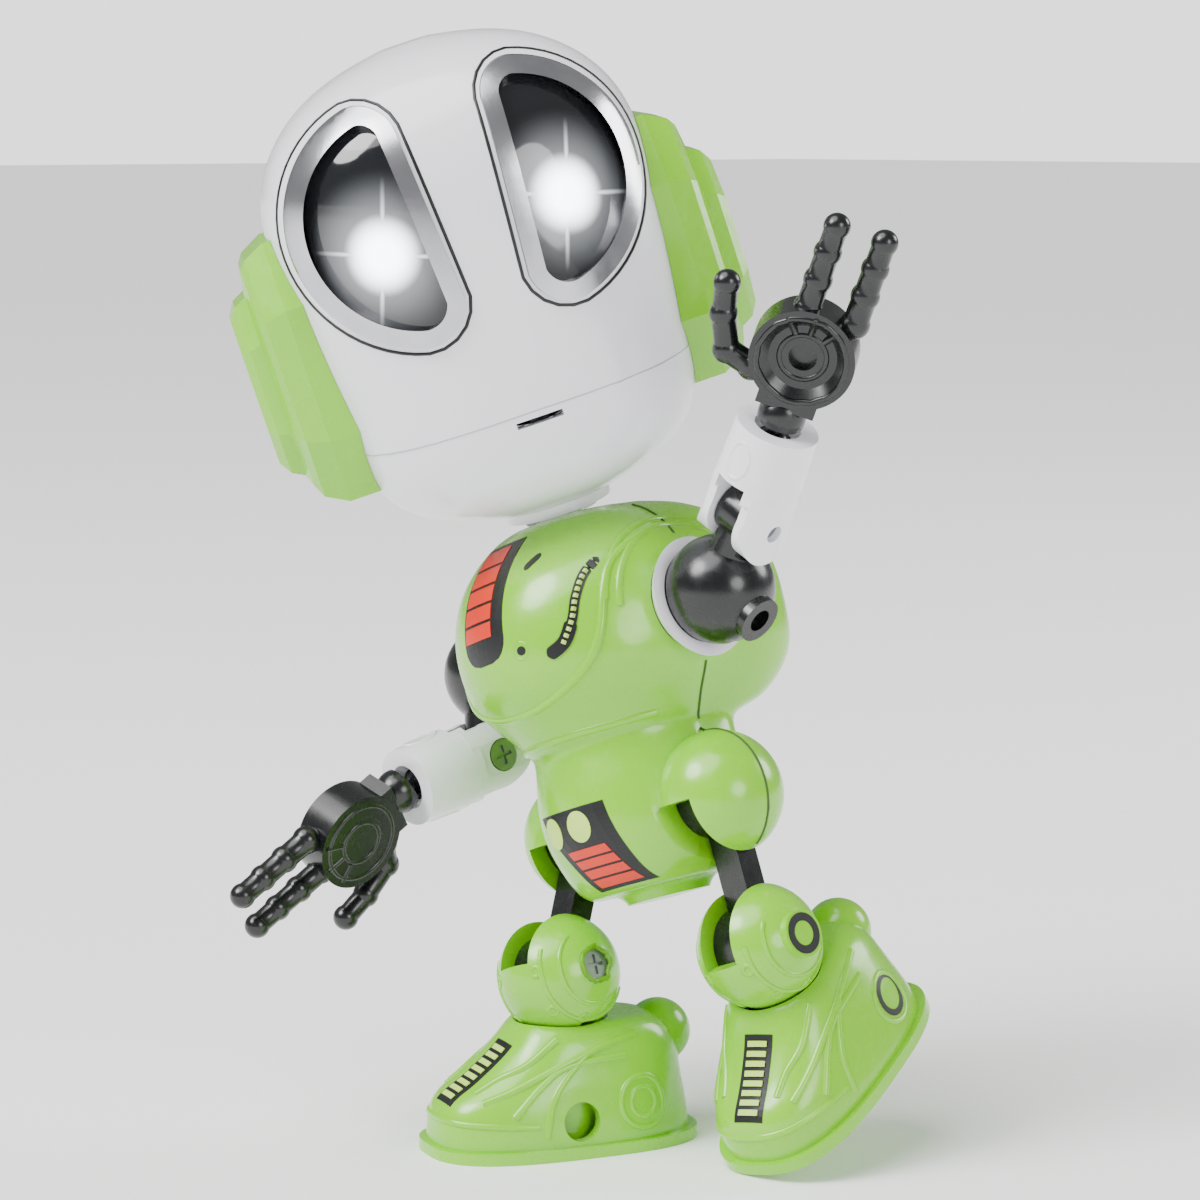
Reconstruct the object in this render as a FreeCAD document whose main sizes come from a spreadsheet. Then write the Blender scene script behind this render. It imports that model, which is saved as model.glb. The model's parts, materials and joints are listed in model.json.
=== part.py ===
import FreeCAD, Part
import math
import os
from FreeCAD import Placement, Rotation, Vector

# Toy robot, posed mid-step with one arm raised.
# Each piece is drawn in the neutral frame of the body that carries it, then set in place by the
# joint angles in the sheet. The robot's front is -Y and its left is +X. The origin is on the
# floor, in the middle of the right sole.

SIZES = {
    # clearances and walls
    "run_gap": 0.1,
    "free_gap": 0.3,
    "shell_wall": 1.3,
    # torso, measured from the hip axis
    "chest_width": 31.0,
    "chest_front": 17.5,
    "chest_back": 18.0,
    "torso_top": 34.9,
    "hip_spacing": 22.8,
    "hip_lobe_radius": 7.1,
    "hip_axle_radius": 1.2,
    "slot_reach": 12.4,
    "shoulder_spacing": 39.4,
    "shoulder_height": 21.1,
    # neck, a ball centred at the bottom of the head
    "neck_forward": 2.0,
    "neck_height": 36.9,
    "neck_ball_radius": 3.2,
    "neck_stem_radius": 1.9,
    "collar_radius": 5.8,
    # head
    "head_width": 42.9,
    "head_depth": 39.0,
    "head_height": 53.0,
    "head_wall": 1.6,
    "jaw_height": 12.5,
    "ear_reach": 27.8,
    "ear_height": 22.9,
    "ear_tall": 14.9,
    "ear_depth": 11.0,
    "eye_width": 16.6,
    "eye_height": 27.0,
    "eye_centre_x": 11.5,
    "eye_centre_height": 35.8,
    "bezel_rim": 2.3,
    "bezel_proud": 0.7,
    # arm
    "shoulder_ball_radius": 6.0,
    "cup_wall": 1.3,
    "upper_arm_length": 9.8,
    "arm_neck_radius": 2.7,
    "elbow_barrel_radius": 3.0,
    "elbow_tongue": 3.6,
    "forearm_length": 12.3,
    "sleeve_radius": 4.8,
    "wrist_ball_radius": 2.5,
    "palm_radius": 5.6,
    "palm_thickness": 4.4,
    "palm_reach": 7.6,
    "finger_radius": 1.6,
    "finger_length": 16.2,
    # leg
    "thigh_length": 16.9,
    "drum_width": 4.6,
    "link_width": 3.8,
    "link_depth": 2.8,
    "hip_drum_radius": 4.4,
    "knee_drum_radius": 4.6,
    "knee_ball_radius": 6.8,
    "knee_screw_radius": 1.1,
    "saucer_radius": 4.3,
    "ankle_height": 18.8,
    "ankle_forward": 0.7,
    # foot
    "foot_length": 31.6,
    "foot_width": 18.0,
    "toe_reach": 16.6,
    "flange_thickness": 1.3,
    "instep_height": 14.2,
    "heel_knob_radius": 3.7,
    "foot_bore_radius": 2.15,
    "foot_bore_height": 4.0,
    # contents
    "cell_diameter": 11.6,
    "cell_thickness": 5.4,
    "speaker_diameter": 16.0,
    "speaker_height": 26.0,
    "grille_pitch": 2.6,
    "grille_hole": 1.3,
    "chest_middle": 20.0,
    "door_width": 17.5,
    "door_height": 12.6,
    "switch_height": 28.6,
    "switch_travel": 3.0,
    # pose, in degrees
    "torso_roll": -19.6,
    "torso_pitch": 1.7,
    "hip_angle_right": -32.0,
    "hip_angle_left": 0.7,
    "knee_angle_left": 28.37,
    "ankle_tilt_left": 13.0,
    "ankle_turn_right": -17.3,
    "ankle_turn_left": 1.5,
    "head_turn": 50.4,
    "head_tilt": -5.0,
    "head_nod": 17.2,
    "swing_left": 176.0,
    "lift_left": 48.0,
    "elbow_left": 1.0,
    "wrist_turn_left": 143.0,
    "wrist_bend_left": 0.0,
    "swing_right": 23.2,
    "lift_right": 10.5,
    "elbow_right": 56.5,
    "wrist_turn_right": -62.0,
    "wrist_bend_right": 23.0,
}

doc = FreeCAD.newDocument("toy_robot")
sheet = doc.addObject("Spreadsheet::Sheet", "dims")
pieces = []


def fill_sheet():
    for row, (alias, value) in enumerate(SIZES.items(), start=1):
        sheet.set(f"A{row}", alias)
        sheet.set(f"B{row}", str(value))
        sheet.setAlias(f"B{row}", alias)
    doc.recompute()


def dim(alias):
    return float(sheet.get(alias))


# ---- placements ----


def shift(x, y, z):
    return Placement(Vector(x, y, z), Rotation())


def turn_x(angle):
    return Placement(Vector(), Rotation(Vector(1, 0, 0), angle))


def turn_y(angle):
    return Placement(Vector(), Rotation(Vector(0, 1, 0), angle))


def turn_z(angle):
    return Placement(Vector(), Rotation(Vector(0, 0, 1), angle))


def side_of(side):
    return "left" if side > 0 else "right"


def body_frames():
    """Placement of every body, worked out from the flat right foot upwards."""
    ankle = shift(0, -dim("ankle_forward"), dim("ankle_height"))
    thigh = shift(0, 0, dim("thigh_length"))
    half_hip = dim("hip_spacing") / 2
    lean = dim("torso_roll")
    frames = {}
    frames["foot_right"] = turn_z(dim("ankle_turn_right"))
    knee_at = (frames["foot_right"] * ankle).Base
    frames["ankle_right"] = shift(*knee_at)
    frames["knee_right"] = frames["ankle_right"] * turn_y(lean)
    shin_lean = dim("torso_pitch") + dim("hip_angle_right")
    frames["thigh_right"] = frames["knee_right"] * turn_x(shin_lean) * thigh
    hip_unbent = frames["thigh_right"] * turn_x(-dim("hip_angle_right"))
    frames["torso"] = hip_unbent * shift(half_hip, 0, 0)
    frames["thigh_left"] = frames["torso"] * shift(half_hip, 0, 0) * turn_x(dim("hip_angle_left"))
    frames["knee_left"] = frames["thigh_left"] * thigh.inverse() * turn_x(dim("knee_angle_left"))
    frames["ankle_left"] = frames["knee_left"] * turn_y(dim("ankle_tilt_left"))
    frames["foot_left"] = frames["ankle_left"] * turn_z(dim("ankle_turn_left")) * ankle.inverse()
    neck = frames["torso"] * shift(0, -dim("neck_forward"), dim("neck_height"))
    frames["neck_collar"] = neck * turn_z(dim("head_turn"))
    frames["neck_bush"] = frames["neck_collar"] * turn_y(dim("head_tilt"))
    frames["head"] = frames["neck_bush"] * turn_x(dim("head_nod"))
    for side in (1, -1):
        arm_frames(frames, side)
    return frames


def arm_frames(frames, side):
    name = side_of(side)
    shoulder = shift(side * dim("shoulder_spacing") / 2, 0, dim("shoulder_height"))
    frames[f"shoulder_{name}"] = frames["torso"] * shoulder * turn_x(-dim(f"swing_{name}"))
    upper = frames[f"shoulder_{name}"] * turn_y(-side * dim(f"lift_{name}"))
    frames[f"upper_arm_{name}"] = upper
    elbow = upper * shift(0, 0, -dim("upper_arm_length"))
    frames[f"forearm_{name}"] = elbow * turn_x(-dim(f"elbow_{name}"))
    wrist = frames[f"forearm_{name}"] * shift(0, 0, -dim("forearm_length"))
    frames[f"wrist_{name}"] = wrist * turn_z(dim(f"wrist_turn_{name}"))
    frames[f"hand_{name}"] = frames[f"wrist_{name}"] * turn_y(dim(f"wrist_bend_{name}"))


# ---- document objects bound to the sheet ----


def bound(kind, name, sizes, at, turn):
    """A primitive whose sizes and corner are expressions over the sheet."""
    item = doc.addObject(kind, name)
    for prop, expression in sizes.items():
        item.setExpression(prop, str(expression))
    item.Placement = Placement(Vector(), turn)
    for axis, expression in zip("xyz", at):
        item.setExpression(f"Placement.Base.{axis}", str(expression))
    return item


def ball(name, radius, at=(0, 0, 0)):
    return bound("Part::Sphere", name, {"Radius": radius}, at, Rotation())


def block(name, size, at=(0, 0, 0)):
    """A box centred on its point."""
    corner = [f"({place}) - ({length}) / 2" for place, length in zip(at, size)]
    sizes = dict(zip(("Length", "Width", "Height"), size))
    return bound("Part::Box", name, sizes, corner, Rotation())


ALONG = {
    "x": Rotation(Vector(0, 1, 0), 90),
    "y": Rotation(Vector(1, 0, 0), -90),
    "z": Rotation(),
}


def start_of(axis, length, at):
    return [f"({place}) - ({length}) / 2" if axis == name else place for name, place in zip("xyz", at)]


def rod(name, axis, radius, length, at=(0, 0, 0)):
    """A cylinder centred on its point, along one axis."""
    sizes = {"Radius": radius, "Height": length}
    return bound("Part::Cylinder", name, sizes, start_of(axis, length, at), ALONG[axis])


def cone(name, axis, start_radius, end_radius, length, at=(0, 0, 0)):
    sizes = {"Radius1": start_radius, "Radius2": end_radius, "Height": length}
    return bound("Part::Cone", name, sizes, start_of(axis, length, at), ALONG[axis])


def fan(name, radius, width, first, last, at=(0, 0, 0)):
    """A pie slice about X. Angles run from straight down, positive towards the back."""
    item = bound("Part::Cylinder", name, {"Radius": radius, "Height": width}, at, Rotation())
    item.setExpression("Angle", f"({last}) - ({first})")
    item.Placement = Placement(Vector(), Rotation(Vector(1, 0, 0), first) * ALONG["x"])
    for axis, expression in zip("xyz", start_of("x", width, at)):
        item.setExpression(f"Placement.Base.{axis}", str(expression))
    return item


def fuse(name, *shapes):
    item = doc.addObject("Part::MultiFuse", name)
    item.Shapes = list(shapes)
    return item


def common(name, *shapes):
    item = doc.addObject("Part::MultiCommon", name)
    item.Shapes = list(shapes)
    return item


def cut(name, base, *tools):
    item = doc.addObject("Part::Cut", name)
    item.Base = base
    item.Tool = tools[0] if len(tools) == 1 else fuse(f"{name}_tools", *tools)
    return item


def shaped(name, shape):
    item = doc.addObject("Part::Feature", name)
    item.Shape = shape
    return item


def piece(label, item, frame):
    """Registers a sub-part: its label names its file and its frame places it."""
    item.Label = label
    item.Placement = frame
    pieces.append(item)


# ---- rounded lofts for the sculpted shells ----


def oval(half_width, front, back, height, powers, points=28):
    """A closed smooth outline with its own depth and squareness in front and behind."""
    spots = []
    for step in range(points):
        angle = 2 * math.pi * step / points
        across, along = math.cos(angle), math.sin(angle)
        reach = back if along > 0 else front
        power = powers[1] if along > 0 else powers[0]
        x = half_width * math.copysign(abs(across) ** (2 / power), across)
        y = reach * math.copysign(abs(along) ** (2 / power), along)
        spots.append(Vector(x, y, height))
    curve = Part.BSplineCurve()
    curve.interpolate(spots, PeriodicFlag=True)
    return Part.Wire(curve.toShape())


def lofted(rows, width, front, back, height, powers, wall=0.0):
    """rows hold height, width, front and back as shares; wall insets every side."""
    wires = []
    low, high = rows[0][0] * height + wall, rows[-1][0] * height - wall
    for level, wide, fore, aft in rows:
        z = min(max(level * height, low), high)
        if wires and z <= last_z + 0.2:
            continue
        last_z = z
        half = max(width / 2 * wide - wall, 0.8)
        wires.append(oval(half, max(front * fore - wall, 0.8), max(back * aft - wall, 0.8), z, powers))
    return Part.makeLoft(wires, True, False)


# ---- torso ----

# height, width, front and back as shares of the chest's
TORSO_ROWS = (
    (-0.26, 0.26, 0.32, 0.18),
    (-0.22, 0.48, 0.52, 0.34),
    (-0.12, 0.66, 0.66, 0.44),
    (0.02, 0.74, 0.72, 0.46),
    (0.14, 0.72, 0.70, 0.44),
    (0.24, 0.69, 0.66, 0.48),
    (0.28, 0.72, 0.70, 0.70),
    (0.34, 0.80, 0.79, 0.90),
    (0.42, 0.92, 0.92, 0.99),
    (0.56, 1.00, 1.00, 1.00),
    (0.70, 1.00, 0.96, 0.98),
    (0.84, 0.90, 0.80, 0.82),
    (0.94, 0.66, 0.58, 0.56),
    (0.98, 0.44, 0.40, 0.36),
)


def torso_form(name, wall, rows=TORSO_ROWS):
    sizes = [dim(alias) for alias in ("chest_width", "chest_front", "chest_back", "torso_top")]
    return shaped(name, lofted(rows, *sizes, (2.0, 4.5), wall))


def torso_shells(frame):
    outer = torso_form("torso_outer", 0)
    hollow = torso_form("torso_hollow", dim("shell_wall"), TORSO_ROWS[5:])
    lobes, rooms = [], []
    for side in (1, -1):
        name = side_of(side)
        hip_x = f"{side} * dims.hip_spacing / 2"
        poles = Rotation(Vector(1, 0, 0), -30)
        radius = {"Radius": "dims.hip_lobe_radius"}
        lobes.append(bound("Part::Sphere", f"hip_lobe_{name}", radius, (hip_x, 0, 0), poles))
        width = "dims.drum_width + 2 * dims.run_gap"
        drum = "dims.hip_drum_radius + dims.free_gap"
        rooms.append(rod(f"hip_drum_room_{name}", "x", drum, width, (hip_x, 0, 0)))
        rooms.append(fan(f"hip_slot_{name}", "dims.slot_reach", width, -90, 62, (hip_x, 0, 0)))
        shoulder = (f"{side} * dims.shoulder_spacing / 2", 0, "dims.shoulder_height")
        cup = "dims.shoulder_ball_radius + dims.cup_wall + 2 * dims.run_gap"
        rooms.append(ball(f"shoulder_room_{name}", cup, shoulder))
    axle = rod("axle_room", "x", "dims.hip_axle_radius", "dims.hip_spacing + 2 * dims.hip_lobe_radius - 3")
    sleeve = "dims.hip_drum_radius - 1 + dims.run_gap"
    rooms.append(rod("sleeve_room", "x", sleeve, "dims.hip_spacing - dims.drum_width"))
    collar = "dims.collar_radius + dims.run_gap"
    rooms.append(rod("collar_room", "z", collar, 6, (0, "-dims.neck_forward", "dims.neck_height - 3.6")))
    throat = "dims.neck_stem_radius + dims.run_gap"
    rooms.append(rod("throat", "z", throat, 20, (0, "-dims.neck_forward", 27)))
    door = ("dims.door_width", "dims.chest_back", "dims.door_height")
    rooms.append(block("door_room", door, (0, "dims.chest_back", "dims.chest_middle")))
    slot_at = ("dims.switch_travel / 2", "dims.chest_back * 0.84 - 0.5", "dims.switch_height")
    rooms.append(block("switch_room", ("3.4 + dims.switch_travel", 6, 2.8), slot_at))
    rooms.append(cut("chest_room", hollow, block("neck_deck", (60, 19, 2), (0, -4.5, 29.3))))
    whole = cut("torso_whole", fuse("torso_body", outer, *lobes), axle, *rooms)
    front = block("front_side", (60, 40, 80), (0, -19.5, 10))
    back = block("back_side", (60, 40, 80), (0, 20.5, 10))
    piece("torso_front_shell", common("torso_front", whole, front), frame)
    piece("torso_back_shell", common("torso_back", whole, back), frame)


def hip_axle(frame):
    shaft = rod("axle_shaft", "x", "dims.hip_axle_radius", "dims.hip_spacing + 2 * dims.hip_lobe_radius - 4")
    tips = "dims.hip_spacing + 2 * dims.hip_lobe_radius - 3.4"
    heads = rod("axle_heads", "x", "dims.hip_axle_radius - 0.2", tips)
    piece("hip_axle", fuse("hip_axle", shaft, heads), frame)
    tube = rod("sleeve_tube", "x", "dims.hip_drum_radius - 1", "dims.hip_spacing - dims.drum_width")
    bore = rod("sleeve_bore", "x", "dims.hip_axle_radius", "dims.hip_spacing")
    piece("hip_sleeve", cut("hip_sleeve", tube, bore), frame)


def battery_door(frame):
    """A plate that fills the door opening flush with the back, held by one screw."""
    size = ("dims.door_width - 0.3", 6, "dims.door_height - 0.3")
    plate = block("door_plate", size, (0, "dims.chest_back - 2.4", "dims.chest_middle"))
    inside = block("door_inside", (40, 40, 40), (0, "dims.chest_back - 1.6 - 20", "dims.chest_middle"))
    screw_z = "dims.chest_middle - dims.door_height / 2 + 1.6"
    hole = rod("door_hole", "y", 0.8, 20, (0, "dims.chest_back", screw_z))
    sink = rod("door_sink", "y", 1.4, 1, (0, "dims.chest_back - 0.1", screw_z))
    skin = common("door_skin", torso_form("door_form", 0), plate)
    piece("battery_door", cut("battery_door", skin, inside, hole, sink), frame)
    head = rod("door_head", "y", 1.3, 0.5, (0, "dims.chest_back - 0.35", screw_z))
    shank = rod("door_shank", "y", 0.75, 2.4, (0, "dims.chest_back - 1.8", screw_z))
    piece("battery_door_screw", fuse("door_screw", head, shank), frame)


def power_switch(frame):
    """A slider behind the back wall, its knob standing through a slot."""
    plate_at = (0, "dims.chest_back * 0.84 - 3.5", "dims.switch_height")
    plate = block("switch_plate", (5, 1, 3.4), plate_at)
    knob = block("switch_knob", (3, 4.4, 2.4), (0, "dims.chest_back * 0.84 - 1.4", "dims.switch_height"))
    piece("power_switch", fuse("power_switch", plate, knob), frame)
    base_at = ("dims.switch_travel / 2", "dims.chest_back * 0.84 - 5.1", "dims.switch_height")
    pocket = block("switch_pocket", (7, 1, 3), base_at)
    piece("switch_base", cut("switch_base", block("switch_case", (9, 2, 4.4), base_at), pocket), frame)


def chest_contents(frame):
    """The battery box opens at the back door, and the board stands in front of it."""
    lengths = ("3 * dims.cell_thickness", "dims.cell_diameter", "dims.cell_diameter")
    depth = "dims.chest_back - 2.2"
    floor = f"{depth} - dims.cell_diameter - 1"
    size = ("3 * dims.cell_thickness + 1.1", "dims.cell_diameter + 1", "dims.cell_diameter + 0.9")
    tray = block("battery_block", size, (0, f"({floor} + {depth}) / 2", "dims.chest_middle"))
    room = ("3 * dims.cell_thickness + 0.1", "dims.cell_diameter + 0.4", "dims.cell_diameter + 0.2")
    room_at = (0, f"{floor} + 0.8 + dims.cell_diameter / 2 + 0.2", "dims.chest_middle")
    piece("battery_box", cut("battery_tray", tray, block("battery_room", room, room_at)), frame)
    row = []
    for place in (-1, 0, 1):
        cell_y = f"{floor} + 0.85 + dims.cell_diameter / 2"
        at = (f"{place} * dims.cell_thickness", cell_y, "dims.chest_middle")
        row.append(rod(f"cell_{place + 2}", "x", "dims.cell_diameter / 2", "dims.cell_thickness - 0.04", at))
    cells = doc.addObject("Part::Compound", "cell_row")
    cells.Links = row
    piece("button_cells", cells, frame)
    board = block("board_plate", (18, 1, 15), (0, f"{floor} - 0.6", "dims.chest_middle"))
    chip = rod("board_chip", "y", 2.6, 1.2, (3.5, f"{floor} - 1.6", "dims.chest_middle + 2"))
    block_chip = block("board_block", (6, 1.6, 4), (-4, f"{floor} - 1.8", "dims.chest_middle - 2"))
    piece("main_board", fuse("main_board", board, chip, block_chip), frame)


# ---- neck ----


def neck_pieces(frames):
    """Collar and ball turn in the torso, the bush tilts on the ball, the head nods on the bush."""
    disc = rod("collar_disc", "z", "dims.collar_radius", 2.6, (0, 0, "-4.9"))
    stem = rod("neck_stem", "z", "dims.neck_stem_radius", 12, (0, 0, "-6"))
    foot = rod("neck_foot", "z", "dims.neck_stem_radius + 0.9", 1.5, (0, 0, "-9.6"))
    head = ball("neck_ball", "dims.neck_ball_radius")
    piece("neck_collar", fuse("neck_collar", disc, stem, foot, head), frames["neck_collar"])
    seat = "dims.neck_ball_radius + dims.run_gap"
    skin = ball("bush_skin", "dims.neck_ball_radius + 1.3")
    below = block("below_bush", (20, 20, 10), (0, 0, "-6.8"))
    bush = cut("neck_bush", skin, ball("bush_room", seat), below)
    piece("neck_bush", bush, frames["neck_bush"])
    outside = ball("socket_skin", "dims.neck_ball_radius + 2.9")
    inside = ball("socket_room", "dims.neck_ball_radius + 1.3 + dims.run_gap")
    under = block("below_socket", (20, 20, 10), (0, 0, "-6.0"))
    over = block("above_socket", (20, 20, 10), (0, 0, "9.2"))
    piece("neck_socket", cut("neck_socket", outside, inside, under, over), frames["head"])


# ---- head ----

# height, width and depth as shares of the head's
HEAD_ROWS = (
    (0.000, 0.26, 0.28),
    (0.022, 0.46, 0.48),
    (0.065, 0.70, 0.71),
    (0.125, 0.84, 0.85),
    (0.215, 0.91, 0.93),
    (0.330, 0.95, 0.97),
    (0.500, 0.99, 1.00),
    (0.660, 1.00, 0.99),
    (0.790, 0.95, 0.93),
    (0.880, 0.81, 0.80),
    (0.945, 0.60, 0.60),
    (0.982, 0.36, 0.36),
    (1.000, 0.14, 0.14),
)


def head_form(name, wall):
    return shaped(name, lofted_head(wall))


def eye_wire(inset):
    """A rounded half-moon, straight towards the nose, in the plane of the face."""
    wide, high = dim("eye_width"), dim("eye_height")
    corner = 0.17 * wide
    inner = [Vector(-0.50 * wide, 0, -0.34 * high), Vector(-0.42 * wide, 0, 0.37 * high)]
    top = Vector(-0.13 * wide, 0, 0.50 * high)
    low = Vector(-0.16 * wide, 0, -0.50 * high)
    edges = [
        Part.LineSegment(inner[0], inner[1]),
        Part.Arc(inner[1], Vector(-0.335 * wide, 0, 0.465 * high), top),
        Part.Arc(top, Vector(0.50 * wide, 0, 0.02 * high), low),
        Part.Arc(low, Vector(-0.40 * wide, 0, -0.455 * high), inner[0]),
    ]
    wire = Part.Wire([edge.toShape() for edge in edges])
    return wire.makeOffset2D(-inset, 0, False, False, True) if inset else wire


def eye_prism(name, side, inset, start, end):
    """The eye's outline carried along Y, mirrored for the right eye."""
    face = Part.Face(eye_wire(inset))
    face.translate(Vector(0, start, 0))
    solid = face.extrude(Vector(0, end - start, 0))
    if side < 0:
        solid = solid.mirror(Vector(), Vector(1, 0, 0))
    solid.translate(Vector(side * dim("eye_centre_x"), 0, dim("eye_centre_height")))
    return shaped(name, solid)


def head_shells(frame):
    outer = head_form("head_outer", 0)
    hollow = head_form("head_hollow", dim("head_wall"))
    opening = rod("neck_opening", "z", "dims.neck_ball_radius + 2.9", 8, (0, 0, 0))
    walls = cut("head_walls", outer, hollow, opening)
    eyes = []
    for side in (1, -1):
        eyes.append(eye_prism(f"eye_opening_{side_of(side)}", side, 0.35, -30, -5))
    half = "60"
    front = block("face_region", (half, half, half), (0, -30, "30 + dims.jaw_height"))
    chin = block("jaw_region", (half, half, half), (0, -30, "dims.jaw_height - 30"))
    rear = block("rear_region", (half, half, 2 * 60), (0, 30, 20))
    piece("face_shell", cut("face_cut", common("face_part", walls, front), *eyes), frame)
    mouth = block("mouth_slot", (5.2, 6, 0.7), (0, "-dims.head_depth / 2", "dims.jaw_height - 0.9"))
    piece("jaw_shell", cut("jaw_cut", common("jaw_part", walls, chin), mouth), frame)
    piece("head_back_shell", cut("rear_cut", common("rear_part", walls, rear), *grille_holes()), frame)


def eye_pieces(side, frame):
    name = side_of(side)
    proud = shaped(f"face_proud_{name}", lofted_head(-dim("bezel_proud")))
    inner = shaped(f"face_inner_{name}", lofted_head(dim("head_wall")))
    rim = eye_prism(f"bezel_outside_{name}", side, 0.35 + dim("run_gap") / 2, -30, -5)
    hole = eye_prism(f"bezel_inside_{name}", side, dim("bezel_rim"), -32, -3)
    ring = cut(f"bezel_ring_{name}", rim, hole, inner)
    piece(f"eye_bezel_{name}", common(f"bezel_{name}", ring, proud), frame)
    glass_skin = shaped(f"lens_skin_{name}", lofted_head(0.5))
    glass_back = shaped(f"lens_back_{name}", lofted_head(1.5))
    plug = eye_prism(f"lens_prism_{name}", side, dim("bezel_rim"), -30, -5)
    lens = common(f"lens_{name}", cut(f"lens_cut_{name}", plug, glass_back), glass_skin)
    piece(f"eye_lens_{name}", lens, frame)
    place = f"{side} * dims.eye_centre_x - {side} * 1.2"
    low = "dims.eye_centre_height - 3"
    can = rod(f"led_can_{name}", "y", 1.5, 2.4, (place, "-dims.head_depth / 2 + 6.3", low))
    dome = ball(f"led_dome_{name}", 1.5, (place, "-dims.head_depth / 2 + 5.1", low))
    piece(f"eye_led_{name}", fuse(f"led_{name}", can, dome), frame)


def lofted_head(wall):
    half = dim("head_depth") / 2
    rows = [(level, wide, deep, deep) for level, wide, deep in HEAD_ROWS]
    return lofted(rows, dim("head_width"), half, half, dim("head_height"), (2.4, 2.4), wall)


def ear_cover(side, frame):
    """A chamfered band against the head with a smaller block standing on it."""
    name = side_of(side)
    # reach, half height and rise of each eight-sided outline
    steps = ((14.5, 14.9, 0.0), (21.8, 14.9, 0.0), (24.3, 13.6, 0.0), (25.0, 12.4, 0.2), (25.5, 10.3, -0.6))
    steps += ((dim("ear_reach") - 0.9, 9.6, -0.6), (dim("ear_reach"), 8.2, -0.6))
    outlines = [ear_outline(side, *step) for step in steps]
    solids = [Part.makeLoft(list(pair), True, True) for pair in zip(outlines, outlines[1:])]
    body = shaped(f"ear_block_{name}", solids[0].multiFuse(solids[1:]).removeSplitter())
    inside = shaped(f"ear_inside_{name}", lofted_head(-0.05))
    piece(f"ear_cover_{name}", cut(f"ear_{name}", body, inside), frame)


def ear_outline(side, reach, half_height, rise):
    """Eight corners, upright sides longer than the slants between them."""
    half_depth = half_height * dim("ear_depth") / dim("ear_tall")
    middle = dim("ear_height") + rise
    spots = []
    for y, z in ((1, 0.5), (0.62, 1), (-0.62, 1), (-1, 0.5), (-1, -0.5), (-0.62, -1), (0.62, -1), (1, -0.5)):
        spots.append(Vector(side * reach, 1.5 + y * half_depth, middle + z * half_height))
    return Part.makePolygon(spots + spots[:1])


def head_speaker(frame):
    """A small speaker behind a grille of holes in the back of the head."""
    at = (0, "dims.head_depth / 2 - 4.4", "dims.speaker_height")
    basket = rod("speaker_basket", "y", "dims.speaker_diameter / 2", 3, at)
    magnet_at = (0, "dims.head_depth / 2 - 6.9", "dims.speaker_height")
    magnet = rod("speaker_magnet", "y", "dims.speaker_diameter / 4", 2, magnet_at)
    piece("speaker", fuse("speaker", basket, magnet), frame)


def grille_holes():
    """One hole ringed by six and twelve."""
    holes = []
    for ring in range(3):
        for step in range(6 * ring or 1):
            angle = 2 * math.pi * step / (6 * ring or 1)
            x = ring * dim("grille_pitch") * math.cos(angle)
            z = ring * dim("grille_pitch") * math.sin(angle)
            at = (x, "dims.head_depth / 2", f"dims.speaker_height + {z}")
            holes.append(rod(f"grille_{ring}_{step}", "y", "dims.grille_hole / 2", 8, at))
    return holes


def head_board(frame):
    plate = block("board_sheet", (27, 1, 16), (0, "-dims.head_depth / 2 + 8.1", "dims.eye_centre_height - 4"))
    post = rod("board_post", "y", 1.6, 6.6, (0, "-dims.head_depth / 2 + 5.3", "dims.eye_centre_height - 6"))
    piece("head_board", fuse("head_board", plate, post), frame)


# ---- arms ----


def arm_pieces(side, frames):
    name = side_of(side)
    shoulder_cup(side, name, frames[f"shoulder_{name}"])
    upper_arm(side, name, frames[f"upper_arm_{name}"])
    forearm(side, name, frames[f"forearm_{name}"])
    wrist_stud(name, frames[f"wrist_{name}"])
    hand(side, name, frames[f"hand_{name}"])


def shoulder_cup(side, name, frame):
    """A dish round the ball, with a pinned tongue that the ball lifts about."""
    skin = ball(f"cup_skin_{name}", "dims.shoulder_ball_radius + dims.cup_wall + dims.run_gap")
    room = ball(f"cup_room_{name}", "dims.shoulder_ball_radius + dims.run_gap")
    mouth = block(f"cup_mouth_{name}", (20, 20, 20), (f"{side} * (10 - 3.2)", 0, 0))
    dish = cut(f"cup_dish_{name}", skin, room, mouth)
    tongue = block(f"cup_tongue_{name}", (6.6, 1.6, 2.4), (f"{-side} * 3.3", 0, 0))
    pin = rod(f"cup_pin_{name}", "y", 1.4, 6)
    piece(f"shoulder_cup_{name}", fuse(f"cup_{name}", dish, tongue, pin), frame)


def upper_arm(side, name, frame):
    sphere = ball(f"arm_ball_{name}", "dims.shoulder_ball_radius")
    neck_at = (0, 0, "-dims.upper_arm_length + 4.4")
    neck = cone(f"arm_neck_{name}", "z", 2.1, "dims.arm_neck_radius + 0.6", 6, neck_at)
    barrel = rod(f"elbow_barrel_{name}", "x", "dims.elbow_barrel_radius", "dims.elbow_tongue",
                 (0, 0, "-dims.upper_arm_length"))
    boss = rod(f"arm_boss_{name}", "x", 2.6, 1.6, (f"{side} * 5.6", 0, 0))
    solid = fuse(f"arm_solid_{name}", sphere, neck, barrel, boss)
    bore = rod(f"elbow_bore_{name}", "x", "1.0 + dims.run_gap", 12, (0, 0, "-dims.upper_arm_length"))
    pin_room = rod(f"pin_room_{name}", "y", "1.4 + dims.run_gap", "6 + 2 * dims.run_gap")
    boss_hole = rod(f"boss_hole_{name}", "x", 1.3, 2, (f"{side} * 6.0", 0, 0))
    slot = lift_slot(side, name)
    cheeks = [elbow_cheek(name, end) for end in (1, -1)]
    piece(f"upper_arm_{name}", cut(f"arm_{name}", solid, bore, pin_room, boss_hole, slot, *cheeks), frame)


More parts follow.
